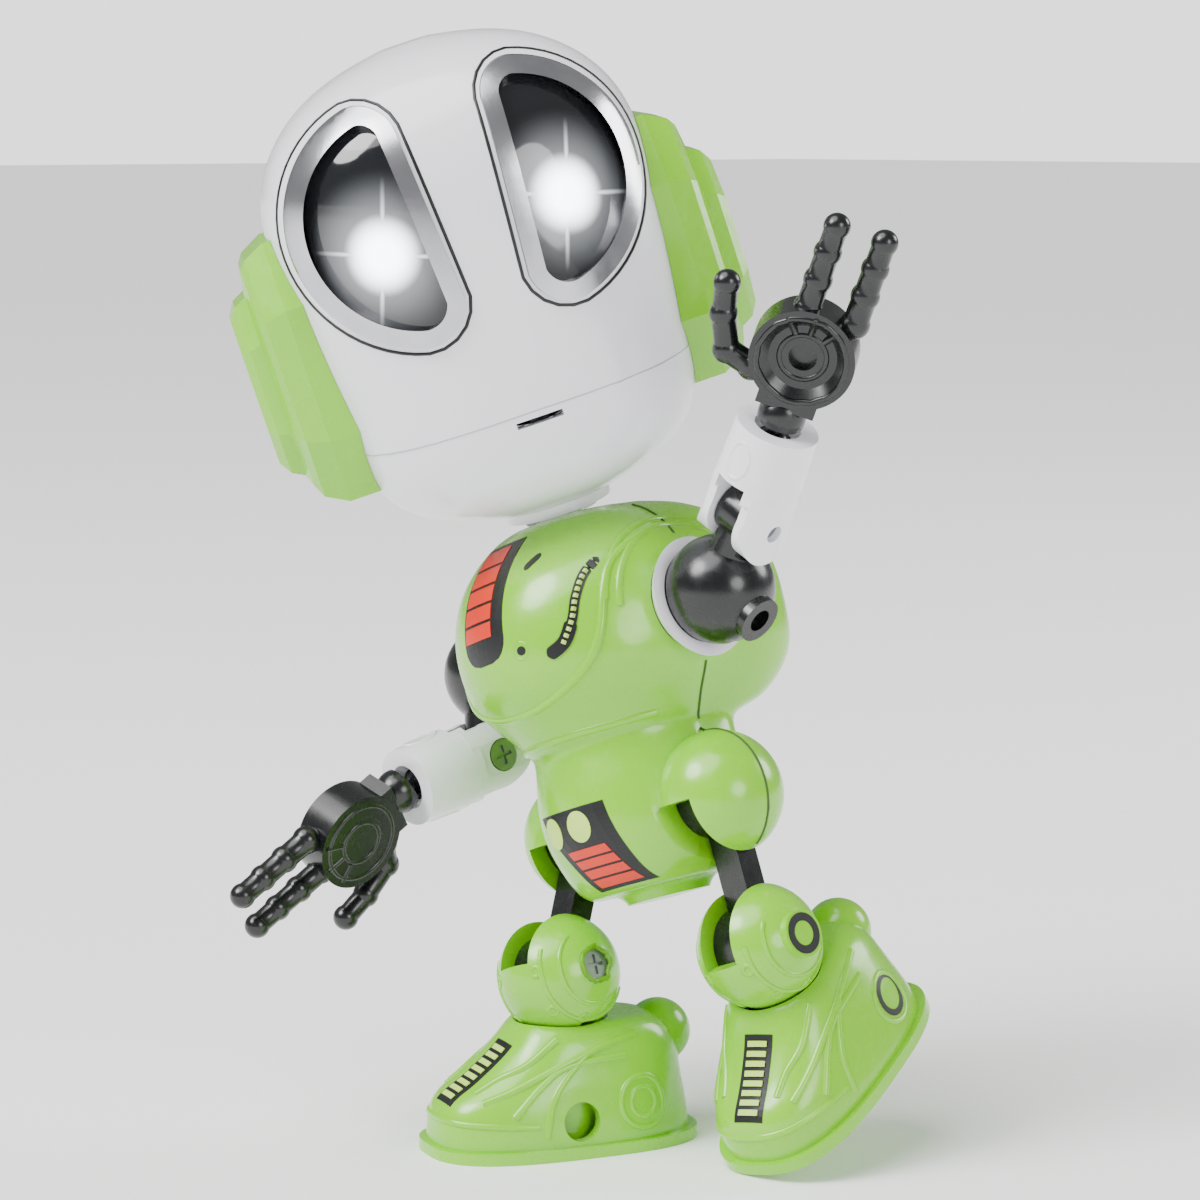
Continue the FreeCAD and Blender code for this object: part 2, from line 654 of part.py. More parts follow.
def lift_slot(side, name):
    """A slit through the ball for the cup's tongue, from level to straight up and a little past."""
    width = "1.6 + 2 * dims.run_gap"
    slot = bound("Part::Cylinder", f"lift_slot_{name}", {"Radius": 9, "Height": width, "Angle": 190},
                 (0, 0, 0), ALONG["y"])
    first = 132 if side > 0 else -142
    slot.Placement = Placement(Vector(), Rotation(Vector(0, 1, 0), first) * ALONG["y"])
    slot.setExpression("Placement.Base.y", f"-({width}) / 2")
    return slot


def elbow_cheek(name, end):
    """Room beside the tongue for one ear of the forearm's fork."""
    middle = f"{end} * (dims.elbow_tongue / 2 + 5)"
    return rod(f"elbow_cheek_{name}_{end + 1}", "x", "dims.sleeve_radius - 0.3", 10,
               (middle, 0, "-dims.upper_arm_length"))


def forearm(side, name, frame):
    """A white sleeve forked round the elbow barrel, with the elbow screw through its ears."""
    end = "dims.forearm_length"
    body = cone(f"sleeve_body_{name}", "z", "dims.sleeve_radius - 0.3", "dims.sleeve_radius",
                f"{end} - 4.4", (0, 0, f"-({end} + 1.6) / 2"))
    ears = rod(f"sleeve_ears_{name}", "x", "dims.sleeve_radius - 0.9", "2 * dims.sleeve_radius - 0.8")
    trim = rod(f"ear_trim_{name}", "z", "dims.sleeve_radius", 30)
    bridge = ("2 * dims.sleeve_radius - 0.8", "2 * dims.sleeve_radius - 2", 4)
    collar = block(f"ear_bridge_{name}", bridge, (0, 0, "-2"))
    ear_pair = common(f"ear_pair_{name}", fuse(f"ear_mass_{name}", ears, collar), trim)
    gap = block(f"fork_gap_{name}", ("dims.elbow_tongue + 0.3", 20, 20), (0, 0, "10 - 4.6"))
    bore = rod(f"ear_bore_{name}", "x", 1.0, 20)
    sink = rod(f"screw_sink_{name}", "x", 1.9, 1.6, (f"{-side} * (dims.sleeve_radius - 0.4)", 0, 0))
    socket = ball(f"wrist_socket_{name}", "dims.wrist_ball_radius + dims.run_gap", (0, 0, f"-{end} + 4.4"))
    mouth = cone(f"wrist_mouth_{name}", "z", 3.2, 1.1, 3, (0, 0, f"-{end} + 2.0"))
    whole = fuse(f"sleeve_whole_{name}", body, ear_pair)
    piece(f"forearm_sleeve_{name}", cut(f"sleeve_{name}", whole, gap, bore, sink, socket, mouth), frame)
    head = rod(f"elbow_head_{name}", "x", 1.8, 0.9, (f"{-side} * (dims.sleeve_radius - 0.75)", 0, 0))
    shank = rod(f"elbow_shank_{name}", "x", 1.0, "2 * dims.sleeve_radius - 2.4")
    cross = [
        block(f"elbow_cross_{name}_1", (1, 0.4, 2.2), (f"{-side} * (dims.sleeve_radius - 0.2)", 0, 0)),
        block(f"elbow_cross_{name}_2", (1, 2.2, 0.4), (f"{-side} * (dims.sleeve_radius - 0.2)", 0, 0)),
    ]
    screw = fuse(f"elbow_screw_solid_{name}", head, shank)
    piece(f"elbow_screw_{name}", cut(f"elbow_screw_{name}", screw, *cross), frame)


def wrist_stud(name, frame):
    """A peg that turns in the sleeve, carrying the ball that the hand bends on."""
    knob = ball(f"wrist_knob_{name}", 1.6)
    stem = rod(f"wrist_stem_{name}", "z", 0.7, 3.0, (0, 0, 1.5))
    peg = ball(f"wrist_ball_{name}", "dims.wrist_ball_radius", (0, 0, 4.4))
    piece(f"wrist_stud_{name}", fuse(f"wrist_{name}", knob, stem, peg), frame)


def finger(name, spots, radius, taper):
    """Swollen joints strung along a chain of points, with slimmer bones between them."""
    items = []
    for joint, (x, z) in enumerate(spots):
        at = (x, 0, f"-dims.palm_reach - {z}")
        items.append(ball(f"{name}_joint_{joint}", f"{radius} - {taper * joint}", at))
    for bone, (first, last) in enumerate(zip(spots, spots[1:])):
        along = Vector(last[0] - first[0], 0, first[1] - last[1])
        item = doc.addObject("Part::Cylinder", f"{name}_bone_{bone}")
        item.setExpression("Radius", f"{radius} - {taper * bone + 0.25}")
        item.Height = along.Length
        item.Placement = Placement(Vector(), Rotation(Vector(0, 0, 1), along))
        item.setExpression("Placement.Base.x", str(first[0]))
        item.setExpression("Placement.Base.z", f"-dims.palm_reach - {first[1]}")
        items.append(item)
    return items


def hand(side, name, frame):
    """Palm disc with a dished face and recess, two fingers and a thumb."""
    middle = "-dims.palm_reach"
    palm = rod(f"palm_{name}", "y", "dims.palm_radius", "dims.palm_thickness", (0, 0, middle))
    heel = block(f"palm_heel_{name}", (6.4, "dims.palm_thickness - 0.6", "dims.palm_reach - 1.4"),
                 (0, 0, "-(dims.palm_reach + 1.4) / 2"))
    knuckle = cut(f"wrist_knuckle_{name}", ball(f"knuckle_ball_{name}", 2.6),
                  block(f"knuckle_top_{name}", (6, 6, 6), (0, 0, 3.9)))
    items = [palm, heel, knuckle]
    long = dim("finger_length") - dim("finger_radius")
    for digit, across in (("a", 0.22), ("b", -0.70)):
        x = side * across * dim("palm_radius")
        spots = [(x, long * share) for share in (0.34, 0.57, 0.79, 1.0)]
        items += finger(f"finger_{digit}_{name}", spots, "dims.finger_radius", 0.06)
    reach = side * dim("palm_radius")
    spots = [(0.85 * reach, -3.4), (1.38 * reach, -2.6), (1.66 * reach, 1.2), (1.78 * reach, 4.6)]
    items += finger(f"thumb_{name}", spots, "dims.finger_radius", 0.05)
    mass = fuse(f"hand_mass_{name}", *items)
    depth = "dims.palm_thickness / 2"
    dish = cone(f"palm_dish_{name}", "y", 4.7, 3.6, 1.0, (0, f"-{depth} + 0.5", middle))
    recess = rod(f"palm_recess_{name}", "y", 1.5, 2, (0, f"-{depth} + 1.0", middle))
    socket = ball(f"hand_socket_{name}", "1.6 + dims.run_gap")
    piece(f"hand_{name}", cut(f"hand_{name}", mass, dish, recess, socket), frame)


# ---- legs ----


def leg_pieces(side, frames):
    name = side_of(side)
    thigh_link(name, frames[f"thigh_{name}"])
    knee(side, name, frames[f"knee_{name}"])
    ankle_stud(name, frames[f"ankle_{name}"])
    foot(side, name, frames[f"foot_{name}"])


def thigh_link(name, frame):
    knee_at = (0, 0, "-dims.thigh_length")
    hip = rod(f"link_hip_{name}", "x", "dims.hip_drum_radius", "dims.drum_width")
    drum = rod(f"link_knee_{name}", "x", "dims.knee_drum_radius", "dims.drum_width", knee_at)
    size = ("dims.link_width", "dims.link_depth", "dims.thigh_length")
    bar = block(f"link_bar_{name}", size, (0, 0, "-dims.thigh_length / 2"))
    hip_bore = rod(f"link_hip_bore_{name}", "x", "dims.hip_axle_radius + dims.run_gap / 2", 20)
    knee_bore = rod(f"link_knee_bore_{name}", "x", "dims.knee_screw_radius + dims.run_gap / 2", 20, knee_at)
    solid = fuse(f"link_solid_{name}", hip, drum, bar)
    piece(f"thigh_link_{name}", cut(f"link_{name}", solid, hip_bore, knee_bore), frame)


def knee(side, name, frame):
    """Two caps of one ball, slotted over the top for the link and under the foot for the stud."""
    sphere = ball(f"knee_sphere_{name}", "dims.knee_ball_radius")
    boss_x = f"{side} * (dims.knee_ball_radius - 0.6)"
    boss = rod(f"knee_boss_{name}", "x", 2.6, 2, (boss_x, 0, 0))
    width = "dims.drum_width + 2 * dims.run_gap"
    room = rod(f"knee_room_{name}", "x", "dims.knee_drum_radius + dims.run_gap", width)
    slot = fan(f"knee_slot_{name}", 12, width, 118, 255)
    bore = rod(f"knee_bore_{name}", "x", "dims.knee_screw_radius", "2 * dims.knee_ball_radius - 2.6")
    sink = rod(f"knee_sink_{name}", "x", 1.9, 2, (f"{-side} * (dims.knee_ball_radius - 0.5)", 0, 0))
    shank = block(f"stud_slot_{name}", (7.0, "2 * 1.0 + 2 * dims.run_gap", 8), (0, 0, "-7"))
    pocket_mass = cut(f"stud_pocket_ring_{name}", ball(f"pocket_far_{name}", "dims.knee_ball_radius - 0.75"),
                      ball(f"pocket_near_{name}", "dims.knee_drum_radius + 0.25"))
    pocket = common(f"stud_pocket_{name}", pocket_mass,
                    block(f"pocket_box_{name}", (7.6, 4.0, 10), (0, 0, "-5")))
    ball_parts = cut(f"knee_parts_{name}", fuse(f"knee_mass_{name}", sphere, boss), room, slot, bore, sink,
                     shank, pocket)
    inner = block(f"inner_side_{name}", (20, 20, 20), (f"{-side} * 10", 0, 0))
    outer = block(f"outer_side_{name}", (20, 20, 20), (f"{side} * 10", 0, 0))
    piece(f"knee_cap_inner_{name}", common(f"knee_inner_{name}", ball_parts, inner), frame)
    piece(f"knee_cap_outer_{name}", common(f"knee_outer_{name}", ball_parts, outer), frame)
    screw_shank = rod(f"knee_shank_{name}", "x", "dims.knee_screw_radius", "2 * dims.knee_ball_radius - 2.6")
    head = rod(f"knee_head_{name}", "x", 1.8, 1, (f"{-side} * (dims.knee_ball_radius - 1.0)", 0, 0))
    cross = [
        block(f"knee_cross_{name}_1", (1, 0.4, 2.2), (f"{-side} * (dims.knee_ball_radius - 0.3)", 0, 0)),
        block(f"knee_cross_{name}_2", (1, 2.2, 0.4), (f"{-side} * (dims.knee_ball_radius - 0.3)", 0, 0)),
    ]
    screw = cut(f"knee_screw_{name}", fuse(f"knee_screw_solid_{name}", screw_shank, head), *cross)
    piece(f"knee_screw_{name}", screw, frame)


def ankle_stud(name, frame):
    """A saucer under the ball with a curved head caught inside it, turning in the foot."""
    saucer = rod(f"saucer_{name}", "z", "dims.saucer_radius", 3.2, (0, 0, "-dims.knee_ball_radius - 0.3"))
    seat = ball(f"saucer_seat_{name}", "dims.knee_ball_radius + dims.run_gap")
    stem = rod(f"stud_stem_{name}", "z", 1.0, 8, (0, 0, "-dims.knee_ball_radius - 2"))
    shoulder = rod(f"stud_shoulder_{name}", "z", 2.4, 6, (0, 0, "-dims.knee_ball_radius - 5"))
    shell = cut(f"stud_shell_{name}", ball(f"stud_far_{name}", "dims.knee_ball_radius - 0.85"),
                ball(f"stud_near_{name}", "dims.knee_drum_radius + 0.7"))
    head = common(f"stud_head_{name}", shell, rod(f"stud_head_rod_{name}", "z", 1.7, 10, (0, 0, "-5")))
    stem_part = common(f"stem_part_{name}", stem, shaped_below(name))
    dish = cut(f"saucer_dish_{name}", saucer, seat)
    hole = rod(f"stud_hole_{name}", "z", 0.8, 5, (0, 0, "-dims.knee_ball_radius - 6"))
    mass = fuse(f"stud_mass_{name}", dish, stem_part, shoulder_below(name, shoulder), head)
    piece(f"ankle_stud_{name}", cut(f"stud_solid_{name}", mass, hole), frame)


def shaped_below(name):
    near = "dims.knee_drum_radius + 0.7"
    block_below = block(f"stem_zone_{name}", (10, 10, 14), (0, 0, "-7"))
    return cut(f"stem_zone_cut_{name}", block_below, ball(f"stem_near_{name}", near))


def shoulder_below(name, shoulder):
    seat = ball(f"shoulder_seat_{name}", "dims.knee_ball_radius + dims.run_gap")
    return cut(f"stud_shoulder_cut_{name}", shoulder, seat)


FOOT_ROWS = (
    (0.00, 0.93, 0.96, 0.95),
    (0.12, 0.93, 0.96, 0.94),
    (0.30, 0.91, 0.95, 0.92),
    (0.42, 0.88, 0.90, 0.90),
    (0.54, 0.85, 0.76, 0.88),
    (0.70, 0.79, 0.58, 0.86),
    (0.86, 0.72, 0.44, 0.80),
    (0.96, 0.63, 0.37, 0.70),
    (1.00, 0.50, 0.30, 0.58),
)


def foot_form(name, wall, rows):
    back = dim("foot_length") - dim("toe_reach")
    solid = lofted(rows, dim("foot_width"), dim("toe_reach"), back, dim("instep_height"), (2.6, 2.6), wall)
    return shaped(name, solid)


def foot(side, name, frame):
    outer = foot_form(f"foot_outer_{name}", 0, FOOT_ROWS)
    hollow = foot_form(f"foot_hollow_{name}", dim("shell_wall"), FOOT_ROWS[:6])
    centre = (0, "-dims.ankle_forward", 0)
    knob_at = (0, "dims.foot_length - dims.toe_reach - 3.6", "dims.instep_height - 2.9")
    knob = ball(f"heel_knob_{name}", "dims.heel_knob_radius", knob_at)
    pillar = rod(f"foot_pillar_{name}", "z", "dims.saucer_radius + 1.5", 60, centre)
    room = cut(f"foot_room_{name}", hollow, pillar)
    saucer_at = (0, "-dims.ankle_forward", "dims.ankle_height - dims.knee_ball_radius - 0.3")
    seat = rod(f"saucer_room_{name}", "z", "dims.saucer_radius + dims.run_gap", "3.2 + 2 * dims.run_gap", saucer_at)
    clear = ball(f"knee_clear_{name}", "dims.knee_ball_radius + dims.free_gap",
                 (0, "-dims.ankle_forward", "dims.ankle_height"))
    bore = rod(f"stud_bore_{name}", "z", "2.4 + dims.run_gap", 12,
               (0, "-dims.ankle_forward", "dims.ankle_height - dims.knee_ball_radius - 5 - 3"))
    side_at = (f"{-side} * (dims.foot_width / 2 - 1)", "-1.6", "dims.foot_bore_height")
    side_bore = rod(f"foot_bore_{name}", "x", "dims.foot_bore_radius", 4, side_at)
    skin = fuse(f"foot_skin_{name}", outer, knob)
    shell_cut = cut(f"foot_shell_{name}", skin, room, seat, clear, bore, side_bore, flange_room(name))
    piece(f"foot_shell_{name}", shell_cut, frame)
    piece(f"foot_sole_{name}", foot_flange(name), frame)


def flange_room(name):
    return block(f"flange_zone_{name}", (40, 60, "2 * dims.flange_thickness"))


def foot_flange(name):
    back = dim("foot_length") - dim("toe_reach")
    half = dim("foot_width") / 2
    wire = oval(half, dim("toe_reach"), back, 0, (2.8, 2.8))
    return shaped(f"flange_{name}", Part.Face(wire).extrude(Vector(0, 0, dim("flange_thickness"))))


def check_all():
    for item in doc.Objects:
        bad = [word for word in item.State if word in ("Invalid", "Error")]
        if bad:
            raise RuntimeError(f"{item.Name} did not compute: {item.State}")
    for item in pieces:
        if item.Shape.isNull() or not item.Shape.isValid():
            raise RuntimeError(f"{item.Label} has no valid shape")


def main():
    fill_sheet()
    frames = body_frames()
    torso = frames["torso"]
    torso_shells(torso)
    hip_axle(torso)
    chest_contents(torso)
    battery_door(torso)
    power_switch(torso)
    neck_pieces(frames)
    head_shells(frames["head"])
    for side in (1, -1):
        eye_pieces(side, frames["head"])
        ear_cover(side, frames["head"])
        arm_pieces(side, frames)
        leg_pieces(side, frames)
    head_board(frames["head"])
    head_speaker(frames["head"])
    doc.recompute()
    check_all()
    os.makedirs("parts", exist_ok=True)
    for item in pieces:
        item.Shape.exportStep(f"parts/{item.Label}.step")
        print(f"{item.Label:24s} solids {len(item.Shape.Solids)} volume {item.Shape.Volume:9.1f}")


main()
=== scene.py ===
import json
import math
import bmesh
import bpy
from mathutils import Matrix, Vector
from mathutils.bvhtree import BVHTree


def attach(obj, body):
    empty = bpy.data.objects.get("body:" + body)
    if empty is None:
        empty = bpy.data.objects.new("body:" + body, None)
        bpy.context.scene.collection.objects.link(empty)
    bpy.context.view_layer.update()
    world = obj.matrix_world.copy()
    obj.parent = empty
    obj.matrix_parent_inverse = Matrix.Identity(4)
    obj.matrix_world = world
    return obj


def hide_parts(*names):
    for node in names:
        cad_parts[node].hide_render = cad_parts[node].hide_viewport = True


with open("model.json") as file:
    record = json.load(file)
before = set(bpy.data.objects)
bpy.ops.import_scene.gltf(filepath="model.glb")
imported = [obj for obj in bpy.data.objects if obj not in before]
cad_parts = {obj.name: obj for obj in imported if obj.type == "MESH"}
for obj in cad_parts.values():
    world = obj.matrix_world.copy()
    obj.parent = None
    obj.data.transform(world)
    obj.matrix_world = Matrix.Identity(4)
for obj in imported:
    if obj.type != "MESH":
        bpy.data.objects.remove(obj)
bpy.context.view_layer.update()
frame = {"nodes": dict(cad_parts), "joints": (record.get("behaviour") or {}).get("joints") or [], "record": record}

joints = {joint["name"]: joint for joint in frame["joints"]}
mm = 0.001


def linear(hexColour):
    out = []
    for start in (1, 3, 5):
        share = int(hexColour[start:start + 2], 16) / 255
        out.append(share / 12.92 if share <= 0.04045 else ((share + 0.055) / 1.055) ** 2.4)
    return (*out, 1.0)


def addNode(tree, kind, inputs=None, **settings):
    node = tree.nodes.new(kind)
    for name, value in settings.items():
        setattr(node, name, value)
    for name, value in (inputs or {}).items():
        if isinstance(value, bpy.types.NodeSocket):
            tree.links.new(value, node.inputs[name])
        else:
            node.inputs[name].default_value = value
    return node


def startMaterial(name):
    material = bpy.data.materials.new(name)
    material.use_nodes = True
    tree = material.node_tree
    tree.nodes.clear()
    coords = addNode(tree, "ShaderNodeTexCoord").outputs["Object"]
    return material, tree, coords


def finishMaterial(tree, shader):
    addNode(tree, "ShaderNodeOutputMaterial", {"Surface": shader.outputs[0]})


plasticLooks = {
    # injection-moulded ABS, polished tool: clear gloss, the faintest orange peel
    "limeAbs": dict(light="#85CF0A", deep="#76C204", rough=(0.20, 0.30), ior=1.54, grain=1.6, cloud=14,
                    bump=0.05, coat=0.25),
    "whiteAbs": dict(light="#F1F0F5", deep="#E7E6ED", rough=(0.17, 0.26), ior=1.54, grain=1.4, cloud=18,
                     bump=0.04, coat=0.3),
    # nylon joints and hands: dark, half gloss, slightly grainy
    "blackNylon": dict(light="#101214", deep="#08090A", rough=(0.22, 0.3), ior=1.53, grain=1.2, cloud=5,
                       bump=0.03, coat=0.1),
    # pad-printed inks: thin, a touch duller than the plastic; black is also painted shade at eyes and mouth
    "blackInkAndShade": dict(light="#0B0D0F", deep="#070809", rough=(0.38, 0.46), ior=1.5, grain=0.35, cloud=4,
                     bump=0.08, coat=0.0),
    "redInk": dict(light="#DD2E0C", deep="#C62408", rough=(0.34, 0.42), ior=1.5, grain=0.35, cloud=4,
                   bump=0.08, coat=0.0),
    "paleInk": dict(light="#C4E86A", deep="#B4DE55", rough=(0.34, 0.42), ior=1.5, grain=0.35, cloud=4,
                    bump=0.08, coat=0.0),
    # the shadowed gap between two mouldings
    "seamShade": dict(light="#335A0C", deep="#274A08", rough=(0.5, 0.6), ior=1.5, grain=0.6, cloud=6,
                      bump=0.05, coat=0.0),
    # a grey line painted as the shade in the gap between the white head mouldings
    "whiteSeamShade": dict(light="#B9B9C2", deep="#ACACB6", rough=(0.5, 0.6), ior=1.5, grain=0.6, cloud=6,
                      bump=0.05, coat=0.0),
    "boardGreen": dict(light="#1F6B3A", deep="#17552D", rough=(0.3, 0.45), ior=1.5, grain=0.6, cloud=4,
                       bump=0.1, coat=0.2),
}


def mouldedPlastic(name, look):
    material, tree, coords = startMaterial(name)
    fine = addNode(tree, "ShaderNodeTexNoise", {"Vector": coords, "Scale": 1 / (look["grain"] * mm),
                   "Detail": 3.0})
    broad = addNode(tree, "ShaderNodeTexNoise", {"Vector": coords, "Scale": 1 / (look["cloud"] * mm),
                    "Detail": 2.0})
    tone = addNode(tree, "ShaderNodeMix", {"Factor": broad.outputs["Fac"]}, data_type="RGBA")
    tone.inputs[6].default_value = linear(look["deep"])
    tone.inputs[7].default_value = linear(look["light"])
    rough = addNode(tree, "ShaderNodeMapRange", {"Value": fine.outputs["Fac"], "From Min": 0.3,
                    "From Max": 0.7, "To Min": look["rough"][0], "To Max": look["rough"][1]})
    bump = addNode(tree, "ShaderNodeBump", {"Height": fine.outputs["Fac"], "Strength": look["bump"],
                   "Distance": 0.1 * mm})
    shader = addNode(tree, "ShaderNodeBsdfPrincipled", {"Base Color": tone.outputs[2],
                     "Roughness": rough.outputs["Result"], "Normal": bump.outputs["Normal"],
                     "IOR": look["ior"], "Coat Weight": look["coat"], "Coat Roughness": 0.08})
    finishMaterial(tree, shader)
    return material


metalLooks = {
    # vacuum-metallised rim: bright, soft flake
    "silverFinish": dict(light="#CFCFD4", deep="#B4B4BB", rough=(0.16, 0.28), flake=0.18, bump=0.05),
    # zinc-plated screws: brighter and duller grey and roughness, varying at random
    "zincScrew": dict(light="#B4B5B9", deep="#7C7E84", rough=(0.3, 0.46), flake=0.5, bump=0.1),
    "nickelCell": dict(light="#D8D8DA", deep="#BDBDC2", rough=(0.18, 0.3), flake=0.7, bump=0.05),
}


def platedMetal(name, look):
    material, tree, coords = startMaterial(name)
    flake = addNode(tree, "ShaderNodeTexNoise", {"Vector": coords, "Scale": 1 / (look["flake"] * mm),
                    "Detail": 4.0})
    broad = addNode(tree, "ShaderNodeTexNoise", {"Vector": coords, "Scale": 1 / (3 * mm), "Detail": 2.0})
    tone = addNode(tree, "ShaderNodeMix", {"Factor": broad.outputs["Fac"]}, data_type="RGBA")
    tone.inputs[6].default_value = linear(look["deep"])
    tone.inputs[7].default_value = linear(look["light"])
    rough = addNode(tree, "ShaderNodeMapRange", {"Value": flake.outputs["Fac"], "To Min": look["rough"][0],
                    "To Max": look["rough"][1]})
    bump = addNode(tree, "ShaderNodeBump", {"Height": flake.outputs["Fac"], "Strength": look["bump"],
                   "Distance": 0.05 * mm})
    shader = addNode(tree, "ShaderNodeBsdfPrincipled", {"Base Color": tone.outputs[2], "Metallic": 1.0,
                     "Roughness": rough.outputs["Result"], "Normal": bump.outputs["Normal"]})
    finishMaterial(tree, shader)
    return material


materials = {name: mouldedPlastic(name, look) for name, look in plasticLooks.items()}
materials.update({name: platedMetal(name, look) for name, look in metalLooks.items()})

lensLook = {
    "smoke": "#15171A",
    # haze is painted glow: the smoked lens painted lighter round the lit diode
    "paintedHaze": "#A9ACB0",
    "glow": "#F4F6FF",
    "core": 2.3,       # mm, radius of the brightest middle
    "coreFull": 0.5,   # shares of that radius, where it starts to fade and where it has gone
    "coreGone": 2.0,
    "reach": 9.5,      # mm, where the painted glow has faded
    "strength": 9.0,
    "flareRay": 0.34,       # mm, half width of the four rays of painted flare
    "flareReach": 8.5,
    "flareShare": 0.4,
}


def litLens(name, look, middle, across, upward):
    # smoked acrylic over a lit diode: bright core, hazy fall-off of painted glow, four rays of painted flare
    material, tree, coords = startMaterial(name)
    shifted = addNode(tree, "ShaderNodeVectorMath", {0: coords, 1: tuple(middle)}, operation="SUBTRACT")
    away = shifted.outputs[0]
    distance = addNode(tree, "ShaderNodeVectorMath", {0: away}, operation="LENGTH").outputs["Value"]

    spread = {"core": (distance, look["coreFull"] * look["core"], look["coreGone"] * look["core"]),
              "paintedHaze": (distance, 0.0, look["reach"]), "flareRay": (distance, 0.0, look["flareReach"])}
    for label, line in (("level", across), ("upright", upward)):
        part = addNode(tree, "ShaderNodeVectorMath", {0: away, 1: tuple(line)}, operation="DOT_PRODUCT")
        width = addNode(tree, "ShaderNodeMath", {0: part.outputs["Value"]}, operation="ABSOLUTE")
        spread[label] = (width.outputs[0], 0.0, look["flareRay"])
    fade = {}
    for label, (value, near, far) in spread.items():
        span = {"Value": value, "From Min": near * mm, "From Max": far * mm, "To Min": 1.0, "To Max": 0.0}
        ranged = addNode(tree, "ShaderNodeMapRange", span, interpolation_type="SMOOTHSTEP")
        fade[label] = ranged.outputs["Result"]
    widest = addNode(tree, "ShaderNodeMath", {0: fade["level"], 1: fade["upright"]}, operation="MAXIMUM")
    flareStar = addNode(tree, "ShaderNodeMath", {0: widest.outputs[0], 1: fade["flareRay"]}, operation="MULTIPLY")
    faint = addNode(tree, "ShaderNodeMath", {0: flareStar.outputs[0], 1: look["flareShare"]}, operation="MULTIPLY")
    light = addNode(tree, "ShaderNodeMath", {0: fade["core"], 1: faint.outputs[0]}, operation="MAXIMUM")
    power = addNode(tree, "ShaderNodeMath", {0: light.outputs[0], 1: look["strength"]}, operation="MULTIPLY")
    # the base colour painted lighter towards the diode: painted glow
    tone = addNode(tree, "ShaderNodeMix", {"Factor": fade["paintedHaze"]}, data_type="RGBA")
    tone.inputs[6].default_value = linear(look["smoke"])
    tone.inputs[7].default_value = linear(look["paintedHaze"])
    grain = addNode(tree, "ShaderNodeTexNoise", {"Vector": coords, "Scale": 1 / (0.8 * mm), "Detail": 2.0})
    rough = addNode(tree, "ShaderNodeMapRange", {"Value": grain.outputs["Fac"], "To Min": 0.05,
                    "To Max": 0.1})
    shader = addNode(tree, "ShaderNodeBsdfPrincipled", {"Base Color": tone.outputs[2],
                     "Roughness": rough.outputs["Result"], "IOR": 1.49, "Coat Weight": 0.3,
                     "Coat Roughness": 0.03, "Emission Color": linear(look["glow"]),
                     "Emission Strength": power.outputs[0]})
    finishMaterial(tree, shader)
    return material


print("materials mixed:", len(materials))


# where each body stands, read from its joints
def axisOf(name):
    return Vector(joints[name]["axis"]).normalized()


def placeOf(name):
    return Vector(joints[name]["pos_m"])


def standing(origin, x, y):
    turned = Matrix((x, y, x.cross(y))).transposed().to_4x4()
    turned.translation = origin
    return turned


def bodyPlaces(look):
    places = {}
    x, z = axisOf("hip_left"), axisOf("neck_turn")
    middle = (placeOf("hip_left") + placeOf("hip_right")) / 2
    places["torso"] = standing(middle, x, z.cross(x))
    bush = standing(placeOf("head_nod"), axisOf("head_nod"), axisOf("head_tilt"))
    places["head"] = bush @ Matrix.Rotation(math.radians(look["headNod"]), 4, "X")
    for name, side in (("left", 1), ("right", -1)):
        y, z = axisOf(f"ankle_tilt_{name}"), axisOf(f"ankle_turn_{name}")
        ankle = standing(placeOf(f"ankle_tilt_{name}"), y.cross(z), y)
        turn = Matrix.Rotation(math.radians(look["footTurn"][name]), 4, "Z")
        sole = Matrix.Translation(Vector((0, look["ankleForward"], -look["ankleHeight"])) * mm)
        places[f"foot_{name}"] = ankle @ turn @ sole
        places[f"knee_{name}"] = standing(placeOf(f"knee_{name}"), axisOf(f"knee_{name}"), y)
        x, y = -axisOf(f"elbow_{name}"), -side * axisOf(f"shoulder_lift_{name}")
        places[f"upper_arm_{name}"] = standing(placeOf(f"shoulder_lift_{name}"), x, y)
        z = axisOf(f"wrist_turn_{name}")
        places[f"forearm_{name}"] = standing(placeOf(f"elbow_{name}"), x, z.cross(x))
        y = axisOf(f"wrist_bend_{name}")
        wrist = standing(placeOf(f"wrist_bend_{name}"), y.cross(z), y)
        places[f"hand_{name}"] = wrist @ Matrix.Rotation(math.radians(look["handBend"][name]), 4, "Y")
    return places


stance = {
    "headNod": 17.2,
    "footTurn": {"left": 1.5, "right": -17.3},
    "ankleForward": 0.7,
    "ankleHeight": 18.8,
    "handBend": {"left": 0.0, "right": 23.0},
}
places = bodyPlaces(stance)


def newObject(name, mesh):
    item = bpy.data.objects.new(name, mesh)
    bpy.context.scene.collection.objects.link(item)
    return item


def settle(item, body, material=None):
    if material:
        item.data.materials.clear()
        item.data.materials.append(material)
    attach(item, body)


def skinOf(*nodes):
    spots, faces = [], []
    for node in nodes:
        mesh = frame["nodes"][node].data
        start = len(spots)
        spots += [vertex.co.copy() for vertex in mesh.vertices]
        faces += [[start + corner for corner in face.vertices] for face in mesh.polygons]
    return BVHTree.FromPolygons(spots, faces)


skins = {
    "torso": skinOf("torso_front_shell", "torso_back_shell"),
    "head": skinOf("face_shell", "jaw_shell", "head_back_shell"),
    "foot_left": skinOf("foot_shell_left"),
    "foot_right": skinOf("foot_shell_right"),
    "knee_left": skinOf("knee_cap_inner_left", "knee_cap_outer_left"),
    "knee_right": skinOf("knee_cap_inner_right", "knee_cap_outer_right"),
}


frontStart, sideStart = -40, 30    # mm, where rays start, clear of every shell


